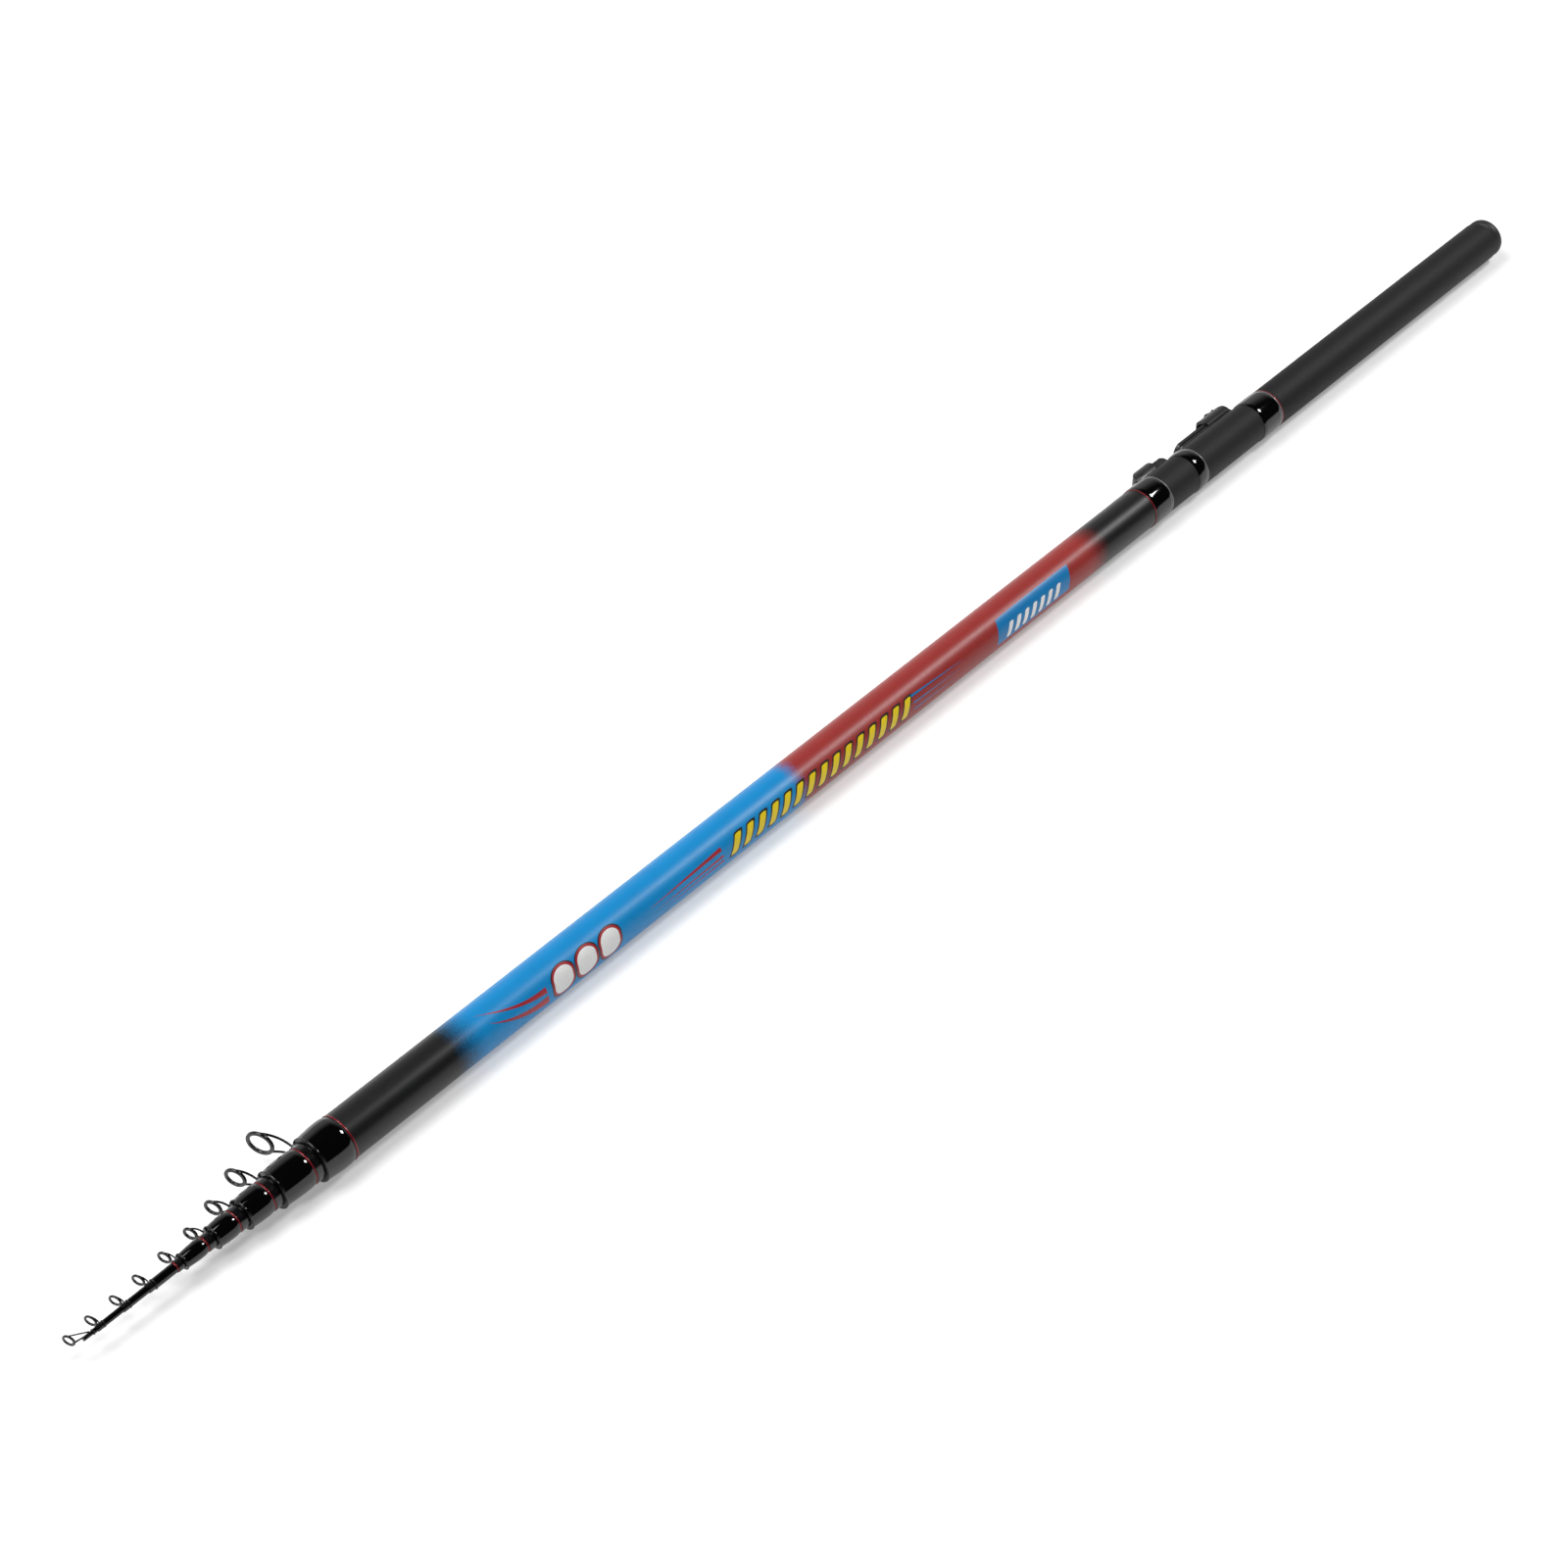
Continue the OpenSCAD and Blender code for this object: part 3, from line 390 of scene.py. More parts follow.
def carbon_blank(f):
    """Polished dark tube with faint turns of the wrapped tape."""
    tape = f.turns(pitch=2.2 * MM, lean=0.10)
    f.put("Base Color", f.mix(tape, (0.001, 0.001, 0.0013), (0.0025, 0.0025, 0.003)))
    uneven = f.span(f.noise(scale=300.0, detail=3.0), -0.01, 0.02)
    f.put("Roughness", f.math("ADD", f.span(tape, 0.09, 0.13), uneven))


def lacquered_thread(f):
    """Black thread under thick gloss lacquer."""
    cloud = f.span(f.noise(scale=250.0, detail=3.0, stretch=(1, 4, 4)), 0.3, 1.0)
    fibre = f.math("MULTIPLY", f.turns(pitch=0.2 * MM), cloud)
    f.put("Base Color", f.mix(fibre, (0.0004, 0.0004, 0.0006), (0.0016, 0.0016, 0.002)))
    f.put("Roughness", f.span(f.noise(scale=120.0), 0.045, 0.075))
    f.set(Specular_IOR_Level=0.52)
    f.bump(f.noise(scale=90.0, detail=1.0), strength=0.02, distance=0.1 * MM)


def wound_thread(f, colour):
    """Twisted thread with painted glints and painted shade on its twists, under thin lacquer."""
    twist = f.noise(scale=2600.0)
    # Noise paints patches of the thread lighter and darker: painted glints and painted shade on the
    # twist
    lit = f.span(twist, 0.0, 1.0, 0.3, 0.7)
    f.put("Base Color", f.mix(lit, shade(colour, 0.55), shade(colour, 1.25)))
    f.put("Roughness", f.span(twist, 0.40, 0.55))
    f.set(Metallic=0.5, Specular_IOR_Level=0.3, Coat_Weight=0.4, Coat_Roughness=0.1)


def coated_steel(f):
    """Black baked coat over pressed steel, a little uneven."""
    wear = f.noise(scale=220.0, detail=4.0)
    worn = f.span(wear, 0.0, 1.0, 0.35, 0.75)
    f.put("Base Color", f.mix(worn, (0.010, 0.010, 0.011), (0.020, 0.020, 0.021)))
    f.put("Roughness", f.span(wear, 0.30, 0.44))
    f.bump(f.noise(scale=1800.0, detail=3.0), strength=0.12, distance=0.05 * MM)


def moulded_plastic(f, colour, rough):
    """Moulded plastic with a fine grain."""
    cloud = f.noise(scale=150.0, detail=4.0)
    f.put("Base Color", f.mix(cloud, shade(colour, 0.8), shade(colour, 1.25)))
    f.put("Roughness", f.span(f.noise(scale=400.0, detail=3.0), rough - 0.05, rough + 0.07))
    f.bump(f.grain(1700.0), strength=0.18, distance=0.06 * MM)


def rubber(f, colour, scale):
    """Dull rubber or foam with open cells."""
    cells = f.grain(scale)
    # The colour is darker in the cells' hollows, where the bump sinks: painted shade in the pores
    f.put("Base Color", f.mix(cells, shade(colour, 0.6), shade(colour, 1.2)))
    f.put("Roughness", f.span(cells, 0.75, 0.9))
    f.bump(cells, strength=0.5, distance=0.2 * MM)


def guide_black(f):
    """Black plated wire, brighter where the plating runs thin."""
    plating = f.noise(scale=700.0, detail=3.0)
    thin = f.span(plating, 0.0, 1.0, 0.4, 0.8)
    f.put("Base Color", f.mix(thin, (0.0025, 0.0025, 0.003), (0.007, 0.0066, 0.007)))
    f.put("Roughness", f.span(plating, 0.13, 0.20))
    f.set(Specular_IOR_Level=0.6)
    f.bump(f.noise(scale=2400.0), strength=0.08, distance=0.04 * MM)


def polished_ceramic(f):
    """Polished dark ceramic."""
    speck = f.noise(scale=1800.0, detail=3.0)
    f.put("Base Color", f.mix(speck, (0.018, 0.018, 0.020), (0.036, 0.036, 0.040)))
    f.put("Roughness", f.span(speck, 0.06, 0.12))
    f.set(Specular_IOR_Level=0.7)


def bright_steel(f):
    """Turned steel pin with fine tool marks."""
    marks = f.noise(scale=4000.0, stretch=(6, 1, 1))
    f.put("Base Color", f.mix(marks, (0.46, 0.46, 0.48), (0.60, 0.60, 0.61)))
    f.put("Roughness", f.span(marks, 0.22, 0.36))
    f.set(Metallic=1.0)


def pale_floor(f):
    """Pale floor that stays white in the picture and keeps the shadow."""
    f.put("Base Color", f.mix(f.noise(scale=3.0), (0.82, 0.82, 0.82), (0.84, 0.84, 0.84)))
    f.set(Roughness=0.9, Specular_IOR_Level=0.0, Emission_Color=(1, 1, 1, 1))
    # The glow shows in the picture and in reflections, but lights nothing
    ray = f.nodes.new("ShaderNodeLightPath").outputs
    mirrored = f.math("MAXIMUM", ray["Is Glossy Ray"], ray["Is Transmission Ray"])
    seen = f.math("MAXIMUM", ray["Is Camera Ray"], mirrored)
    glow = f.span(f.length(), 0.32, 1.0, from_low=1.9, from_high=4.2)
    f.put("Emission Strength", f.math("MULTIPLY", seen, glow))


def object_of(name, data):
    """A new object with that mesh, lamp or camera, linked to the scene."""
    piece = bpy.data.objects.new(name, data)
    bpy.context.scene.collection.objects.link(piece)
    return piece


def smooth(mesh):
    """Shades a mesh smooth, up to an angle."""
    mesh.shade_smooth()
    mesh.set_sharp_from_angle(angle=SMOOTH_ANGLE)


def settle(mesh):
    """Joins a mesh's doubled points, turns its faces outwards and shades it smooth."""
    work = bmesh.new()
    work.from_mesh(mesh)
    bmesh.ops.remove_doubles(work, verts=work.verts, dist=SAME_POINT)
    bmesh.ops.recalc_face_normals(work, faces=work.faces)
    work.to_mesh(mesh)
    work.free()
    smooth(mesh)


def finished_piece(name, work):
    """A new object from a shape under construction."""
    mesh = bpy.data.meshes.new(name)
    work.to_mesh(mesh)
    work.free()
    settle(mesh)
    return object_of(name, mesh)


def place(piece, material, body, slot, *nodes):
    """Gives a piece its material and body, and hides the CAD nodes that it stands for. The slot is
    not used.
    """
    piece.data.materials.clear()
    piece.data.materials.append(material)
    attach(piece, body)
    if nodes:
        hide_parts(*nodes)
    return piece


def body_of(node):
    """The CAD body that holds a node."""
    return frame["nodes"][node]["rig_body"]


def turned(name, outline, sides):
    """A closed piece turned about the rod's axis.

    The outline's (x, radius) points go once round its section.
    """
    work = bmesh.new()
    circle = [2 * math.pi * i / sides for i in range(sides)]
    rings = []
    for x, r in outline:
        if r < SAME_POINT:
            rings.append([work.verts.new((x, 0, 0))])
        else:
            rings.append([work.verts.new((x, r * math.cos(a), r * math.sin(a))) for a in circle])
    for a, b in zip(rings, rings[1:] + rings[:1]):
        if len(a) == 1 and len(b) == 1:
            continue
        for i in range(sides):
            j = (i + 1) % sides
            corners = [a[i % len(a)], a[j % len(a)], b[j % len(b)], b[i % len(b)]]
            work.faces.new(list(dict.fromkeys(corners)))
    return finished_piece(name, work)


def rings_of(node):
    """Smallest and largest radius of a turned CAD node at each of its stations."""
    rings = {}
    for v in frame["nodes"][node].data.vertices:
        x, r = round(v.co.x, STATION_DECIMALS), math.hypot(v.co.y, v.co.z)
        low, high = rings.get(x, (r, r))
        rings[x] = (min(low, r), max(high, r))
    return [Ring(x, *rings[x]) for x in sorted(rings)]


def flowing(points, steps=4):
    """A finer line through points, rounded where they turn gently and straight at corners."""
    def turn(i):
        if i in (0, len(points) - 1):
            return math.pi
        a = Vector(points[i]) - Vector(points[i - 1])
        b = Vector(points[i + 1]) - Vector(points[i])
        return abs(a.angle_signed(b))

    line = [points[0]]
    for i in range(len(points) - 1):
        p1, p2 = Vector(points[i]), Vector(points[i + 1])
        m1 = (p2 - Vector(points[i - 1])) / 2 if turn(i) < ROUND_ANGLE else p2 - p1
        m2 = (Vector(points[i + 2]) - p1) / 2 if turn(i + 1) < ROUND_ANGLE else p2 - p1
        for k in range(1, steps + 1):
            t = k / steps
            h = (
                2 * t ** 3 - 3 * t ** 2 + 1, t ** 3 - 2 * t ** 2 + t,
                3 * t ** 2 - 2 * t ** 3, t ** 3 - t ** 2,
            )
            line.append(tuple(p1 * h[0] + m1 * h[1] + p2 * h[2] + m2 * h[3]))
    return line


def rounded_end(distance, reach):
    """Share of the full height at a distance from an end that is rounded over a reach."""
    return 1 - (1 - min(max(distance, 0.0) / reach, 1.0)) ** 2


def lip(x, r, turn_x, turn_r, size):
    """Three points that break an edge at (x, r); turn_x and turn_r point into the section."""
    middle = (x + turn_x * QUARTER_ROUND * size, r + turn_r * QUARTER_ROUND * size)
    return [(x, r + turn_r * size), middle, (x + turn_x * size, r)]


def tube_outline(node):
    """Section of a straight, tapered CAD tube, with broken outer edges at its ends."""
    rings = rings_of(node)
    # Stations between the ends may have points on the bore only, so they aren't used
    front, rear = rings[0], rings[-1]
    front_lip = lip(front.x, front.high, 1, -1, SECTION_LIP)
    rear_lip = lip(rear.x, rear.high, -1, -1, SECTION_LIP)[::-1]
    (a, r_a), (b, r_b) = front_lip[-1], rear_lip[0]
    middle = [
        (a + (b - a) * i / TUBE_STEPS, r_a + (r_b - r_a) * i / TUBE_STEPS)
        for i in range(1, TUBE_STEPS)
    ]
    return [(front.x, front.low)] + front_lip + middle + rear_lip + [(rear.x, rear.low)]


def skin_outline(node, bore, least):
    """Section of a CAD node from its bore to those points that stand higher than a least height."""
    line = [(ring.x, ring.high) for ring in rings_of(node) if ring.high > bore + least]
    return [(line[0][0], bore)] + line + [(line[-1][0], bore)]


def bake(piece):
    """Turns a piece's modifiers into a plain mesh."""
    graph = bpy.context.evaluated_depsgraph_get()
    mesh = bpy.data.meshes.new_from_object(piece.evaluated_get(graph), depsgraph=graph)
    piece.modifiers.clear()
    piece.data = mesh
    mesh.name = piece.name


def welded_copy(node, name, edge=0.0):
    """A smooth copy of a CAD node with its loose triangles joined and its edges broken."""
    mesh = frame["nodes"][node].data.copy()
    mesh.name = name
    mesh.materials.clear()
    work = bmesh.new()
    work.from_mesh(mesh)
    bmesh.ops.remove_doubles(work, verts=work.verts, dist=WELD)
    bmesh.ops.dissolve_degenerate(work, edges=work.edges, dist=SLIVER)
    if edge:
        bmesh.ops.dissolve_limit(
            work, angle_limit=FLAT_ANGLE, verts=work.verts, edges=work.edges,
        )
    work.to_mesh(mesh)
    work.free()
    smooth(mesh)
    piece = object_of(name, mesh)
    if edge:
        bevel = piece.modifiers.new("broken_edges", "BEVEL")
        bevel.width = edge
        bevel.segments = 2
        bevel.limit_method = "ANGLE"
        bevel.angle_limit = BEVEL_ANGLE
        bevel.use_clamp_overlap = True
        bevel.harden_normals = True
        bake(piece)
    return piece


def finished_copies(rows, edge=0.0):
    """Copies of CAD nodes in place; a row is a node, its copy's name, its finish and its slot."""
    return [
        place(welded_copy(node, name, edge), material, body_of(node), slot, node)
        for node, name, material, slot in rows
    ]


class Tree:
    """A Geometry Nodes tree under construction."""

    def __init__(self, name, **inputs):
        self.tree = bpy.data.node_groups.new(name, "GeometryNodeTree")
        self.socket("Geometry", "INPUT", "Geometry")
        for label, kind in inputs.items():
            self.socket(label, "INPUT", kind)
        self.socket("Geometry", "OUTPUT", "Geometry")
        self.inputs = self.tree.nodes.new("NodeGroupInput").outputs
        self.end = self.tree.nodes.new("NodeGroupOutput")

    def socket(self, label, way, kind):
        """Adds a named input or output."""
        self.tree.interface.new_socket(label, in_out=way, socket_type="NodeSocket" + kind)

    def add(self, kind, settings=None, **links):
        """Adds a node; each link is a socket or a value for the input of that name or number."""
        node = self.tree.nodes.new(kind)
        for key, value in (settings or {}).items():
            setattr(node, key, value)
        for key, value in links.items():
            if key.startswith("in"):
                socket = node.inputs[int(key[2:])]
            else:
                label = key.replace("_", " ")
                socket = next(s for s in node.inputs if s.name == label and s.enabled)
            for item in value if isinstance(value, list) else [value]:
                if isinstance(item, bpy.types.NodeSocket):
                    self.tree.links.new(item, socket)
                else:
                    socket.default_value = item
        return node.outputs[0]

    def sum(self, operation, a, b=0.0):
        """The result of an operation on two values."""
        return self.add("ShaderNodeMath", {"operation": operation}, in0=a, in1=b)

    def point(self):
        """A point's place, and its three coordinates."""
        place_at = self.add("GeometryNodeInputPosition")
        split = self.tree.nodes.new("ShaderNodeSeparateXYZ")
        self.tree.links.new(place_at, split.inputs[0])
        return place_at, split.outputs

    def close(self, geometry):
        """Ends the tree with a geometry in the material that it is given."""
        material = self.inputs["Material"]
        dressed = self.add("GeometryNodeSetMaterial", Geometry=geometry, Material=material)
        self.tree.links.new(dressed, self.end.inputs[0])

    def run(self, piece, **values):
        """Runs the tree on a piece with values for its named inputs, and bakes the result."""
        modifier = piece.modifiers.new(self.tree.name, "NODES")
        modifier.node_group = self.tree
        for item in self.tree.interface.items_tree:
            if item.in_out == "INPUT" and item.name in values:
                modifier[item.identifier] = values[item.name]
        bake(piece)


def winding_tree():
    """A flat thread wound in close turns over the ring that it is given, higher in its middle."""
    t = Tree(
        "wound_turns", Station="Float", Radius="Float", Width="Float", Thread="Float", Bead="Float",
        Material="Material",
    )
    g = t.inputs
    half = t.sum("DIVIDE", g["Thread"], 2.0)
    height = t.sum("SUBTRACT", g["Width"], g["Thread"])
    spiral = t.add(
        "GeometryNodeCurveSpiral", Resolution=TURN_POINTS,
        Rotations=t.sum("DIVIDE", height, g["Thread"]),
        Start_Radius=g["Radius"], End_Radius=g["Radius"], Height=height,
    )
    place_at, axes = t.point()
    across = t.sum("DIVIDE", axes[2], t.sum("DIVIDE", height, 2.0))
    across = t.sum("SUBTRACT", across, 1.0)
    bead_share = t.sum("DIVIDE", g["Bead"], g["Radius"])
    fall = t.sum("MULTIPLY", t.sum("MULTIPLY", across, across), bead_share)
    shrink = t.sum("SUBTRACT", 1.0, fall)
    inwards = t.add("ShaderNodeCombineXYZ", X=shrink, Y=shrink, Z=1.0)
    bent = t.add("ShaderNodeVectorMath", {"operation": "MULTIPLY"}, in0=place_at, in1=inwards)
    bead = t.add("GeometryNodeSetPosition", Geometry=spiral, Position=bent)
    level = t.add("GeometryNodeSetCurveNormal", {"mode": "Z_UP"}, Curve=bead)
    circle = t.add("GeometryNodeCurvePrimitiveCircle", Resolution=THREAD_SIDES, Radius=half)
    profile = t.add("GeometryNodeTransform", Geometry=circle, Scale=(THREAD_FLATNESS, 1.0, 1.0))
    thread = t.add("GeometryNodeCurveToMesh", Curve=level, Profile_Curve=profile, Fill_Caps=True)
    shift = t.add("ShaderNodeCombineXYZ", X=t.sum("ADD", g["Station"], half))
    along = t.add(
        "GeometryNodeTransform", Geometry=thread, Translation=shift, Rotation=(0, math.pi / 2, 0),
    )
    both = t.add("GeometryNodeJoinGeometry", Geometry=[g["Geometry"], along])
    real = t.add("GeometryNodeRealizeInstances", Geometry=both)
    t.close(t.add("GeometryNodeSetShadeSmooth", Geometry=real))
    return t


def print_tree():
    """A flat mark, repeated along the rod and wrapped on the tube."""
    t = Tree(
        "printed_row", Start="Float", Pitch="Float", Count="Int", Radius="Float", Angle="Float",
        Material="Material",
    )
    g = t.inputs
    first = t.add("ShaderNodeCombineXYZ", X=g["Start"])
    step = t.add("ShaderNodeCombineXYZ", X=t.sum("MULTIPLY", g["Pitch"], -1.0))
    row = t.add("GeometryNodeMeshLine", Count=g["Count"], Start_Location=first, Offset=step)
    marks = t.add("GeometryNodeInstanceOnPoints", Points=row, Instance=g["Geometry"])
    flat = t.add("GeometryNodeRealizeInstances", Geometry=marks)
    axes = t.point()[1]
    turn = t.sum("SUBTRACT", g["Angle"], t.sum("DIVIDE", axes[1], g["Radius"]))
    reach = t.sum("ADD", g["Radius"], axes[2])
    side = t.sum("MULTIPLY", t.sum("MULTIPLY", reach, t.sum("SINE", turn)), -1.0)
    rise = t.sum("MULTIPLY", reach, t.sum("COSINE", turn))
    wrapped = t.add("ShaderNodeCombineXYZ", X=axes[0], Y=side, Z=rise)
    t.close(t.add("GeometryNodeSetPosition", Geometry=flat, Position=wrapped))
    return t


def slab(name, rows, lift, depth):
    """A thin closed sheet over a grid of (x, y) points, between two heights."""
    work = bmesh.new()
    lower, upper = grids = [
        [[work.verts.new((x, y, z)) for x, y in row] for row in rows] for z in (lift, lift + depth)
    ]
    n, m = len(rows), len(rows[0])
    for i in range(n - 1):
        for j in range(m - 1):
            for grid in grids:
                work.faces.new((grid[i][j], grid[i + 1][j], grid[i + 1][j + 1], grid[i][j + 1]))
    rim = [(i, 0) for i in range(n)] + [(n - 1, j) for j in range(1, m)]
    rim += [(i, m - 1) for i in range(n - 2, -1, -1)] + [(0, j) for j in range(m - 2, 0, -1)]
    for (i, j), (k, l) in zip(rim, rim[1:] + rim[:1]):
        work.faces.new((lower[i][j], lower[k][l], upper[k][l], upper[i][j]))
    return finished_piece(name, work)


def bar_rows(bar, grow=0.0, rows=22, columns=5):
    """The grid of a slanted bar, grown on all sides, with rows closer together at its ends."""
    half_w, half_h = bar.width / 2 + grow, bar.height / 2 + grow
    blunt = 0.02 * half_w
    grid = []
    for i in range(rows + 1):
        v = math.sin(math.pi * (i / rows - 0.5))
        over = max(0.0, abs(v) - (1 - bar.roundness)) / bar.roundness
        reach = half_w * math.sqrt(max(0.0, 1 - over ** 2)) + blunt
        grid.append([
            (bar.slant * v * half_h + reach * (2 * j / columns - 1), v * half_h)
            for j in range(columns + 1)
        ])
    return grid


def stripe_rows(length, start, end, half_a, half_b, bend, rows=36, columns=6):
    """The grid of a stripe that tapers from one half width to another, between two heights."""
    narrowing = 0.8
    grid = []
    for i in range(rows + 1):
        s = i / rows
        y = start + (end - start) * s ** (1 + bend)
        half = half_a + (half_b - half_a) * s ** narrowing
        grid.append([
            (-length * s, y + half * (2 * j / columns - 1)) for j in range(columns + 1)
        ])
    return grid


def operator_done(pieces, what):
    """Ends an operator, or stops the script where it made nothing."""
    if not pieces:
        raise RuntimeError(f"no {what} was made")
    return {"FINISHED"}


class ROD_OT_butt(bpy.types.Operator):
    """Makes the butt tube with its handle coat and sprayed bands"""
    bl_idname = "rod.butt"
    bl_label = "Butt tube"

    def execute(self, context):
        s = sizes()
        rings = rings_of("butt_tube")
        mouth, rear = rings[0], rings[-1]
        nose = next(ring.x for ring in rings if ring.x > BUTT_MOUTH + MM)
        shoulder = [(nose - MM, TUBE_R - SHOULDER_FALL), (nose, TUBE_R), (nose + MM, TUBE_R)]
        soft, coat_r = s.grip_coat, TUBE_R + s.grip_coat
        coat_front = next(ring.x for ring in rings if ring.high > TUBE_R + soft / 2)
        coat_rear = BUTT_REAR - s.grip_gap
        outline = [(BUTT_MOUTH, mouth.low)] + lip(BUTT_MOUTH, mouth.high, 1, -1, MOUTH_LIP)
        outline += flowing(shoulder, steps=2)
        outline += [(coat_front - soft, TUBE_R), (coat_front, coat_r - soft / 3)]
        outline += [(coat_front + soft, coat_r), (coat_rear - soft, coat_r), (coat_rear, TUBE_R)]
        outline += lip(BUTT_REAR, rear.high, -1, -1, REAR_LIP)[::-1] + [(BUTT_REAR, rear.low)]
        piece = turned("butt_blank", outline, s.tube_sides)
        place(piece, made("painted_butt", painted_butt), "butt", "butt_paint", "butt_tube")
        return operator_done([piece], "butt")


class ROD_OT_whippings(bpy.types.Operator):
    """Makes the lacquered whippings of the seat, the butt's mouth and the sections"""
    bl_idname = "rod.whippings"
    bl_label = "Whippings"

    def execute(self, context):
        sections = tuple(f"section_{k}_whipping" for k in SECTIONS)
        pieces = []
        for node in SEAT_WHIPPINGS + ("butt_whipping",) + sections:
            piece = turned(node + "_lacquer", self.outline(node), sizes().tube_sides)
            lacquer = made("lacquered_thread", lacquered_thread)
            pieces.append(place(piece, lacquer, body_of(node), "lacquer", node))
        return operator_done(pieces, "whipping")

    @staticmethod
    def outline(node):
        """Section of a whipping; its lacquer falls at the rear, and on the seat at both ends."""
        s = sizes()
        rings = rings_of(node)
        bore = min(ring.low for ring in rings)
        rear_bore = rings[-1].low if node == "butt_whipping" else bore
        wall = max(bore, rear_bore) + WHIPPING_SKIN
        # Stations with points on the bore only are left out; the rim at the front may be low
        skin = [
            (ring.x, ring.high) for ring in rings
            if ring.high > bore + RIM_SKIN and (ring.high > wall or ring.x < rings[0].x + MM)
        ]
        front, rear = skin[0][0], skin[-1][0]
        drop = min(s.end_drop, skin[-1][1] - rear_bore - END_WALL)

        def fall(distance):
            return drop * (1 - rounded_end(distance, s.end_reach))

        line = [(x, r - fall(rear - x)) for x, r in flowing(skin)]
        if node in SEAT_WHIPPINGS:
            line = [(x, r - fall(x - front)) for x, r in line]
        return [(front, bore)] + line + [(rear, rear_bore)]


class ROD_OT_threads(bpy.types.Operator):
    """Winds the rings of coloured thread"""
    bl_idname = "rod.threads"
    bl_label = "Thread rings"

    def execute(self, context):
        c = colours()
        red = made("wound_red", wound_thread, colour=tuple(c.thread_red))
        silver = made("wound_silver", wound_thread, colour=tuple(c.thread_silver))
        nodes = ["butt_thread_ring", "sleeve_5_thread_ring"]
        nodes += [f"section_{k}_thread_ring" for k in SECTIONS]
        nodes += ["seat_silver_rings", "seat_red_rings"]
        tree = winding_tree()
        pieces = []
        for node in nodes:
            bright = node == "seat_silver_rings"
            material, slot = (silver, "silver_thread") if bright else (red, "red_thread")
            parts = [
                self.wind(tree, f"{node}_{i}", ends, material)
                for i, ends in enumerate(self.ends(node))
            ]
            piece = parts[0]
            if len(parts) > 1:
                with context.temp_override(active_object=piece, selected_editable_objects=parts):
                    bpy.ops.object.join()
            piece.name = node + "_wound"
            piece.data.name = piece.name
            pieces.append(place(piece, material, body_of(node), slot, node))
        return operator_done(pieces, "thread ring")

    @staticmethod
    def ends(node):
        """Front, rear, bore and radius of a node's rings, sunk to the lacquer's fallen end."""
        rings = rings_of(node)
        top = max(ring.high for ring in rings)
        edges = [ring for ring in rings if ring.high > top - RING_TOP]
        found = []
        for front, rear in zip(edges[0::2], edges[1::2]):
            bore = min(front.low, rear.low)
            on_butt = bore > TUBE_R
            radius = bore + BUTT_RING_RISE if on_butt else front.high - SECTION_RING_SINK
            found.append((front.x, rear.x, bore, radius))
        return found

    @staticmethod
    def wind(tree, name, ends, material):
        """One ring: a core and the thread round it."""
        s = sizes()
        front, rear, bore, radius = ends
        width = rear - front
        top = [
            (front + width * i / CORE_STEPS, radius - s.bead * (2 * i / CORE_STEPS - 1) ** 2)
            for i in range(CORE_STEPS + 1)
        ]
        piece = turned(name, [(front, bore)] + top + [(rear, bore)], s.small_sides)
        tree.run(
            piece, Station=front, Radius=radius, Width=width, Thread=s.thread_d, Bead=s.bead,
            Material=material,
        )
        return piece


class ROD_OT_sections(bpy.types.Operator):
    """Makes the inner sections, the tip and the slip sleeves"""
    bl_idname = "rod.sections"
    bl_label = "Sections"

    def execute(self, context):
        sides = sizes().small_sides
        blank = made("carbon_blank", carbon_blank)
        lacquer = made("lacquered_thread", lacquered_thread)
        pieces = []
        for k in SECTIONS:
            node = f"section_{k}_tube"
            piece = turned(f"section_{k}_blank", tube_outline(node), sides)
            pieces.append(place(piece, blank, body_of(node), "blank", node))
        tip = turned("tip_blank", skin_outline("tip_tube", 0.0, TIP_SKIN), sides)
        pieces.append(place(tip, blank, "tip", "blank", "tip_tube"))
        for k in SLEEVES:
            node = f"slip_sleeve_{k}"
            bore = min(ring.low for ring in rings_of(node))
            piece = turned(f"sleeve_{k}_lacquer", skin_outline(node, bore, SLEEVE_SKIN), sides)
            pieces.append(place(piece, lacquer, body_of(node), "lacquer", node))
        return operator_done(pieces, "section")


class ROD_OT_guides(bpy.types.Operator):
    """Finishes the guide frames and their ceramic rings"""
    bl_idname = "rod.guides"
    bl_label = "Line guides"

    def execute(self, context):
        black = made("guide_black", guide_black)
        ceramic = made("polished_ceramic", polished_ceramic)
        rows = []
        for stem in GUIDES:
            rows.append((stem + "_frame", stem + "_wire", black, "guide_metal"))
            rows.append((stem + "_ring", stem + "_liner", ceramic, "ring_ceramic"))
        return operator_done(finished_copies(rows), "guide")


class ROD_OT_seat(bpy.types.Operator):
    """Finishes the reel seat: rail, hoods, lever and pin"""
    bl_idname = "rod.seat"
    bl_label = "Reel seat"

    def execute(self, context):
        hood = made("hood_plastic", moulded_plastic, colour=(0.010, 0.010, 0.011), rough=0.36)
        steel = made("coated_steel", coated_steel)
        bright = made("bright_steel", bright_steel)
        rows = (
            ("seat_rail", "seat_rail_finished", steel, "seat_metal"),
            ("seat_front_hood", "seat_front_hood_finished", steel, "seat_metal"),
            ("sliding_hood", "sliding_hood_finished", hood, "slider_plastic"),
            ("lock_lever", "lock_lever_finished", hood, "slider_plastic"),
            ("lever_pin", "lever_pin_finished", bright, "pin_steel"),
        )
        return operator_done(finished_copies(rows, sizes().edge), "seat")


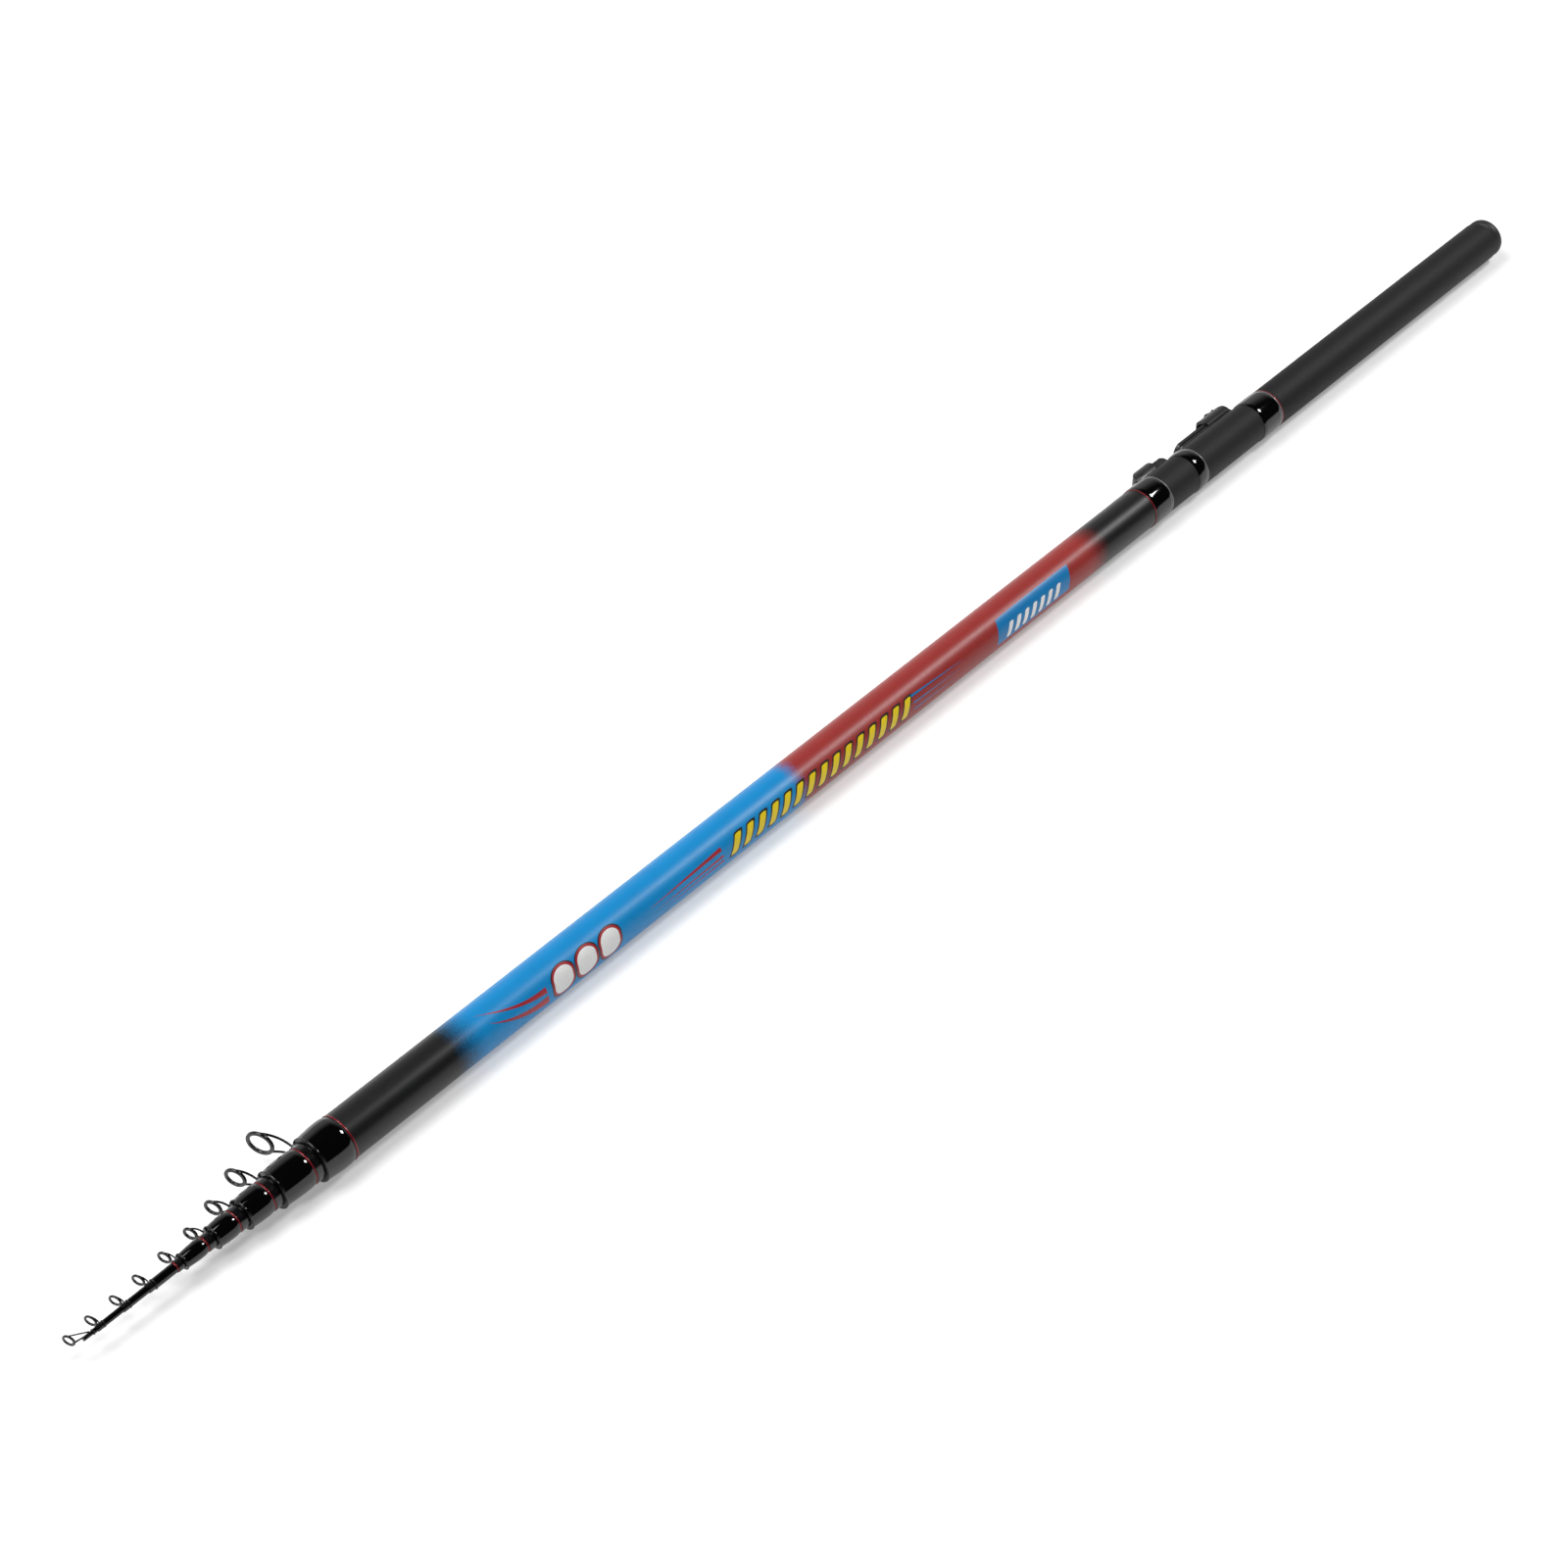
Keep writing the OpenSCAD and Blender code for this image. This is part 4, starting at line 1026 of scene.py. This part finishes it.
class ROD_OT_cap(bpy.types.Operator):
    """Finishes the butt cap with its seals and pad"""
    bl_idname = "rod.cap"
    bl_label = "Butt cap"

    def execute(self, context):
        black = made("cap_black", moulded_plastic, colour=(0.016, 0.016, 0.017), rough=0.5)
        seal = made("seal_black", rubber, colour=(0.010, 0.010, 0.010), scale=900.0)
        foam = made("pad_grey", rubber, colour=(0.045, 0.045, 0.045), scale=500.0)
        rows = (
            ("end_cap", "end_cap_finished", black, "cap_plastic"),
            ("cap_seals", "cap_seals_finished", seal, "seal_rubber"),
            ("cap_pad", "cap_pad_finished", foam, "pad_foam"),
        )
        return operator_done(finished_copies(rows), "cap")


class ROD_OT_print(bpy.types.Operator):
    """Prints plain marks and tapered lines on the painted tube"""
    bl_idname = "rod.print"
    bl_label = "Printed marks"

    def execute(self, context):
        s, c = sizes(), colours()
        tree = print_tree()
        pieces = []
        for mark in self.rows(s.outline) + self.lines():
            material = made("ink_" + mark.ink, ink, colour=tuple(getattr(c, mark.ink)))
            piece = slab(mark.name, mark.rows, PRINT_GAP + mark.layer * s.decal, s.decal)
            tree.run(
                piece, Start=CAP_END - mark.station, Pitch=mark.pitch, Count=mark.number,
                Radius=TUBE_R, Angle=math.radians(mark.angle), Material=material,
            )
            settle(piece.data)
            pieces.append(place(piece, material, "butt", "butt_paint"))
        return operator_done(pieces, "mark")

    @staticmethod
    def rows(line):
        """The plate and the rows of bars and rounded marks, some over a wider outline."""
        degree = TUBE_R * math.radians(1)
        plate = Bar(66 * MM, 68 * degree, slant=0.35, roundness=0.06)
        dash = Bar(3.6 * MM, 34 * degree, slant=0.7, roundness=0.2)
        bar = Bar(4.8 * MM, 44 * degree, slant=0.7, roundness=0.12)
        pill = Bar(13.0 * MM, 62 * degree, slant=0.15, roundness=0.75)
        dashes = {"station": 487 * MM, "pitch": 7.4 * MM, "number": 7, "angle": 74}
        bars = {"station": 625 * MM, "pitch": 10.2 * MM, "number": 15, "angle": 70}
        pills = {"station": 866 * MM, "pitch": 17.4 * MM, "number": 3, "angle": 69}
        plate_rows = bar_rows(plate, rows=40, columns=8)
        return [
            Mark("plate", "deep_blue", 0, plate_rows, station=508 * MM, angle=63),
            Mark("plate_dashes", "white", 1, bar_rows(dash), **dashes),
            Mark("bars_outline", "dark", 0, bar_rows(bar, 1.4 * line), **bars),
            Mark("bars", "yellow", 1, bar_rows(bar), **bars),
            Mark("pills_edge", "dark", 0, bar_rows(pill, 2.4 * line), **pills),
            Mark("pills_outline", "crimson", 1, bar_rows(pill, 1.6 * line), **pills),
            Mark("pills", "white", 2, bar_rows(pill), **pills),
        ]

    @staticmethod
    def lines():
        """The tapered lines and flashes."""
        degree = TUBE_R * math.radians(1)
        point = 0.15 * degree
        # A line's angles at its start and end and its width are degrees, its length millimetres
        fans = (
            Fan("blue_lines", "deep_blue", 619 * MM, -1, 0.0, (
                (50, 58, 6.5, 44), (69, 74, 4.0, 40), (86, 91, 4.0, 36))),
            Fan("red_lines", "crimson", 779 * MM, 1, 0.0, (
                (56, 64, 11.0, 56), (75, 80, 6.5, 52), (88, 92, 5.0, 46))),
            Fan("red_flashes", "crimson", 913 * MM, 1, 0.9, (
                (88, 42, 22.0, 38), (62, 6, 15.0, 42))),
        )
        marks = []
        for fan in fans:
            for i, (start, end, width, length) in enumerate(fan.lines, 1):
                rows = stripe_rows(
                    fan.way * length * MM, -start * degree, -end * degree,
                    width * degree / 2, point, fan.bend,
                )
                marks.append(Mark(f"{fan.name}_{i}", fan.ink, 0, rows, fan.station))
        return marks


class ROD_OT_stage(bpy.types.Operator):
    """Makes the floor, the light and the camera"""
    bl_idname = "rod.stage"
    bl_label = "Stage"

    def execute(self, context):
        scene = context.scene
        p = scene.rod_stage
        scene.view_settings.view_transform = "Standard"
        self.floor(CAD_BOX[0][2])
        self.world(scene)
        self.lamp("key_softbox", KEY_LAMP, p.key_size, p.key_power)
        self.lamp("back_softbox", BACK_LAMP, p.back_size, p.back_power)
        scene.camera = self.camera(p)
        return operator_done([scene.camera], "camera")

    @staticmethod
    def floor(height):
        """A wide floor under the rod."""
        mesh = bpy.data.meshes.new("floor")
        ways = ((-1, -1), (1, -1), (1, 1), (-1, 1))
        corners = [(x * FLOOR_REACH, y * FLOOR_REACH, height) for x, y in ways]
        mesh.from_pydata(corners, [], [(0, 1, 2, 3)])
        floor = object_of("floor", mesh)
        mesh.materials.append(made("pale_floor", pale_floor))

    @staticmethod
    def world(scene):
        """A white sweep low down all round, higher behind the rod, under a dark ceiling."""
        world = bpy.data.worlds.new("studio")
        t = ShaderTree(world, "Generated")
        height, depth = t.axis(2), t.axis(1)
        sweep = t.span(height, 0.95, 0.02, from_low=0.02, from_high=0.10)
        wall = t.span(height, 0.62, 0.0, from_low=0.40, from_high=0.82)
        behind = t.span(depth, 0.0, 1.0, from_low=-0.15, from_high=0.40)
        back = t.nodes["Background"].inputs
        t.feed(back["Strength"], t.math("MAXIMUM", sweep, t.math("MULTIPLY", wall, behind)))
        t.feed(back["Color"], (1, 1, 1, 1))
        scene.world = world

    @staticmethod
    def lamp(name, place_at, size, power):
        """A soft lamp aimed at the rod."""
        light = bpy.data.lights.new(name, "AREA")
        light.shape = "SQUARE"
        light.size = size
        light.energy = power
        lamp = object_of(name, light)
        lamp.location = place_at
        lamp.rotation_euler = (LAMP_AIM - place_at).to_track_quat("-Z", "Y").to_euler()

    @staticmethod
    def camera(p):
        """A camera with the photograph's view."""
        a, e = math.radians(p.azimuth), math.radians(p.elevation)
        forward = Vector((-math.sin(a) * math.cos(e), math.cos(a) * math.cos(e), -math.sin(e)))
        right = forward.cross(Vector((0, 0, 1))).normalized()
        up = right.cross(forward)
        aim = Vector((CAP_END - p.aim, 0, 0)) + p.shift_right * right + p.shift_up * up
        data = bpy.data.cameras.new("camera")
        data.lens, data.sensor_width = p.lens, FILM_WIDTH
        data.clip_start, data.clip_end = CLIP_RANGE
        camera = object_of("camera", data)
        camera.location = aim - p.distance * forward
        turn = Quaternion((0, 0, 1), math.radians(p.roll))
        camera.rotation_euler = (forward.to_track_quat("-Z", "Y") @ turn).to_euler()
        return camera


class ROD_PT_panel(bpy.types.Panel):
    """Lists the rod's operators and values"""
    bl_label = "Telescopic rod"
    bl_idname = "ROD_PT_panel"
    bl_space_type = "VIEW_3D"
    bl_region_type = "UI"
    bl_category = "Rod"

    def draw(self, context):
        for operator in OPERATORS:
            self.layout.operator(operator.bl_idname)
        for name, group in GROUPS:
            box = self.layout.box()
            for key in group.__annotations__:
                box.prop(getattr(context.scene, name), key)


OPERATORS = (
    ROD_OT_stage, ROD_OT_butt, ROD_OT_whippings, ROD_OT_threads, ROD_OT_sections, ROD_OT_guides,
    ROD_OT_seat, ROD_OT_cap, ROD_OT_print,
)
GROUPS = (
    ("rod_sizes", ROD_PG_sizes), ("rod_colours", ROD_PG_colours), ("rod_stage", ROD_PG_stage),
)


def register():
    """Adds the values, the operators and the panel."""
    for name, group in GROUPS:
        bpy.utils.register_class(group)
        setattr(bpy.types.Scene, name, PointerProperty(type=group))
    for operator in OPERATORS:
        bpy.utils.register_class(operator)
    bpy.utils.register_class(ROD_PT_panel)


def unregister():
    """Takes away what register added."""
    bpy.utils.unregister_class(ROD_PT_panel)
    for operator in reversed(OPERATORS):
        bpy.utils.unregister_class(operator)
    for name, group in reversed(GROUPS):
        delattr(bpy.types.Scene, name)
        bpy.utils.unregister_class(group)
    FINISHES.clear()


def main():
    """Builds the stage and all the pieces."""
    register()
    bpy.ops.rod.stage()
    bpy.ops.rod.butt()
    bpy.ops.rod.whippings()
    bpy.ops.rod.threads()
    bpy.ops.rod.sections()
    bpy.ops.rod.guides()
    bpy.ops.rod.seat()
    bpy.ops.rod.cap()
    bpy.ops.rod.print()


if __name__ == "__main__":
    main()
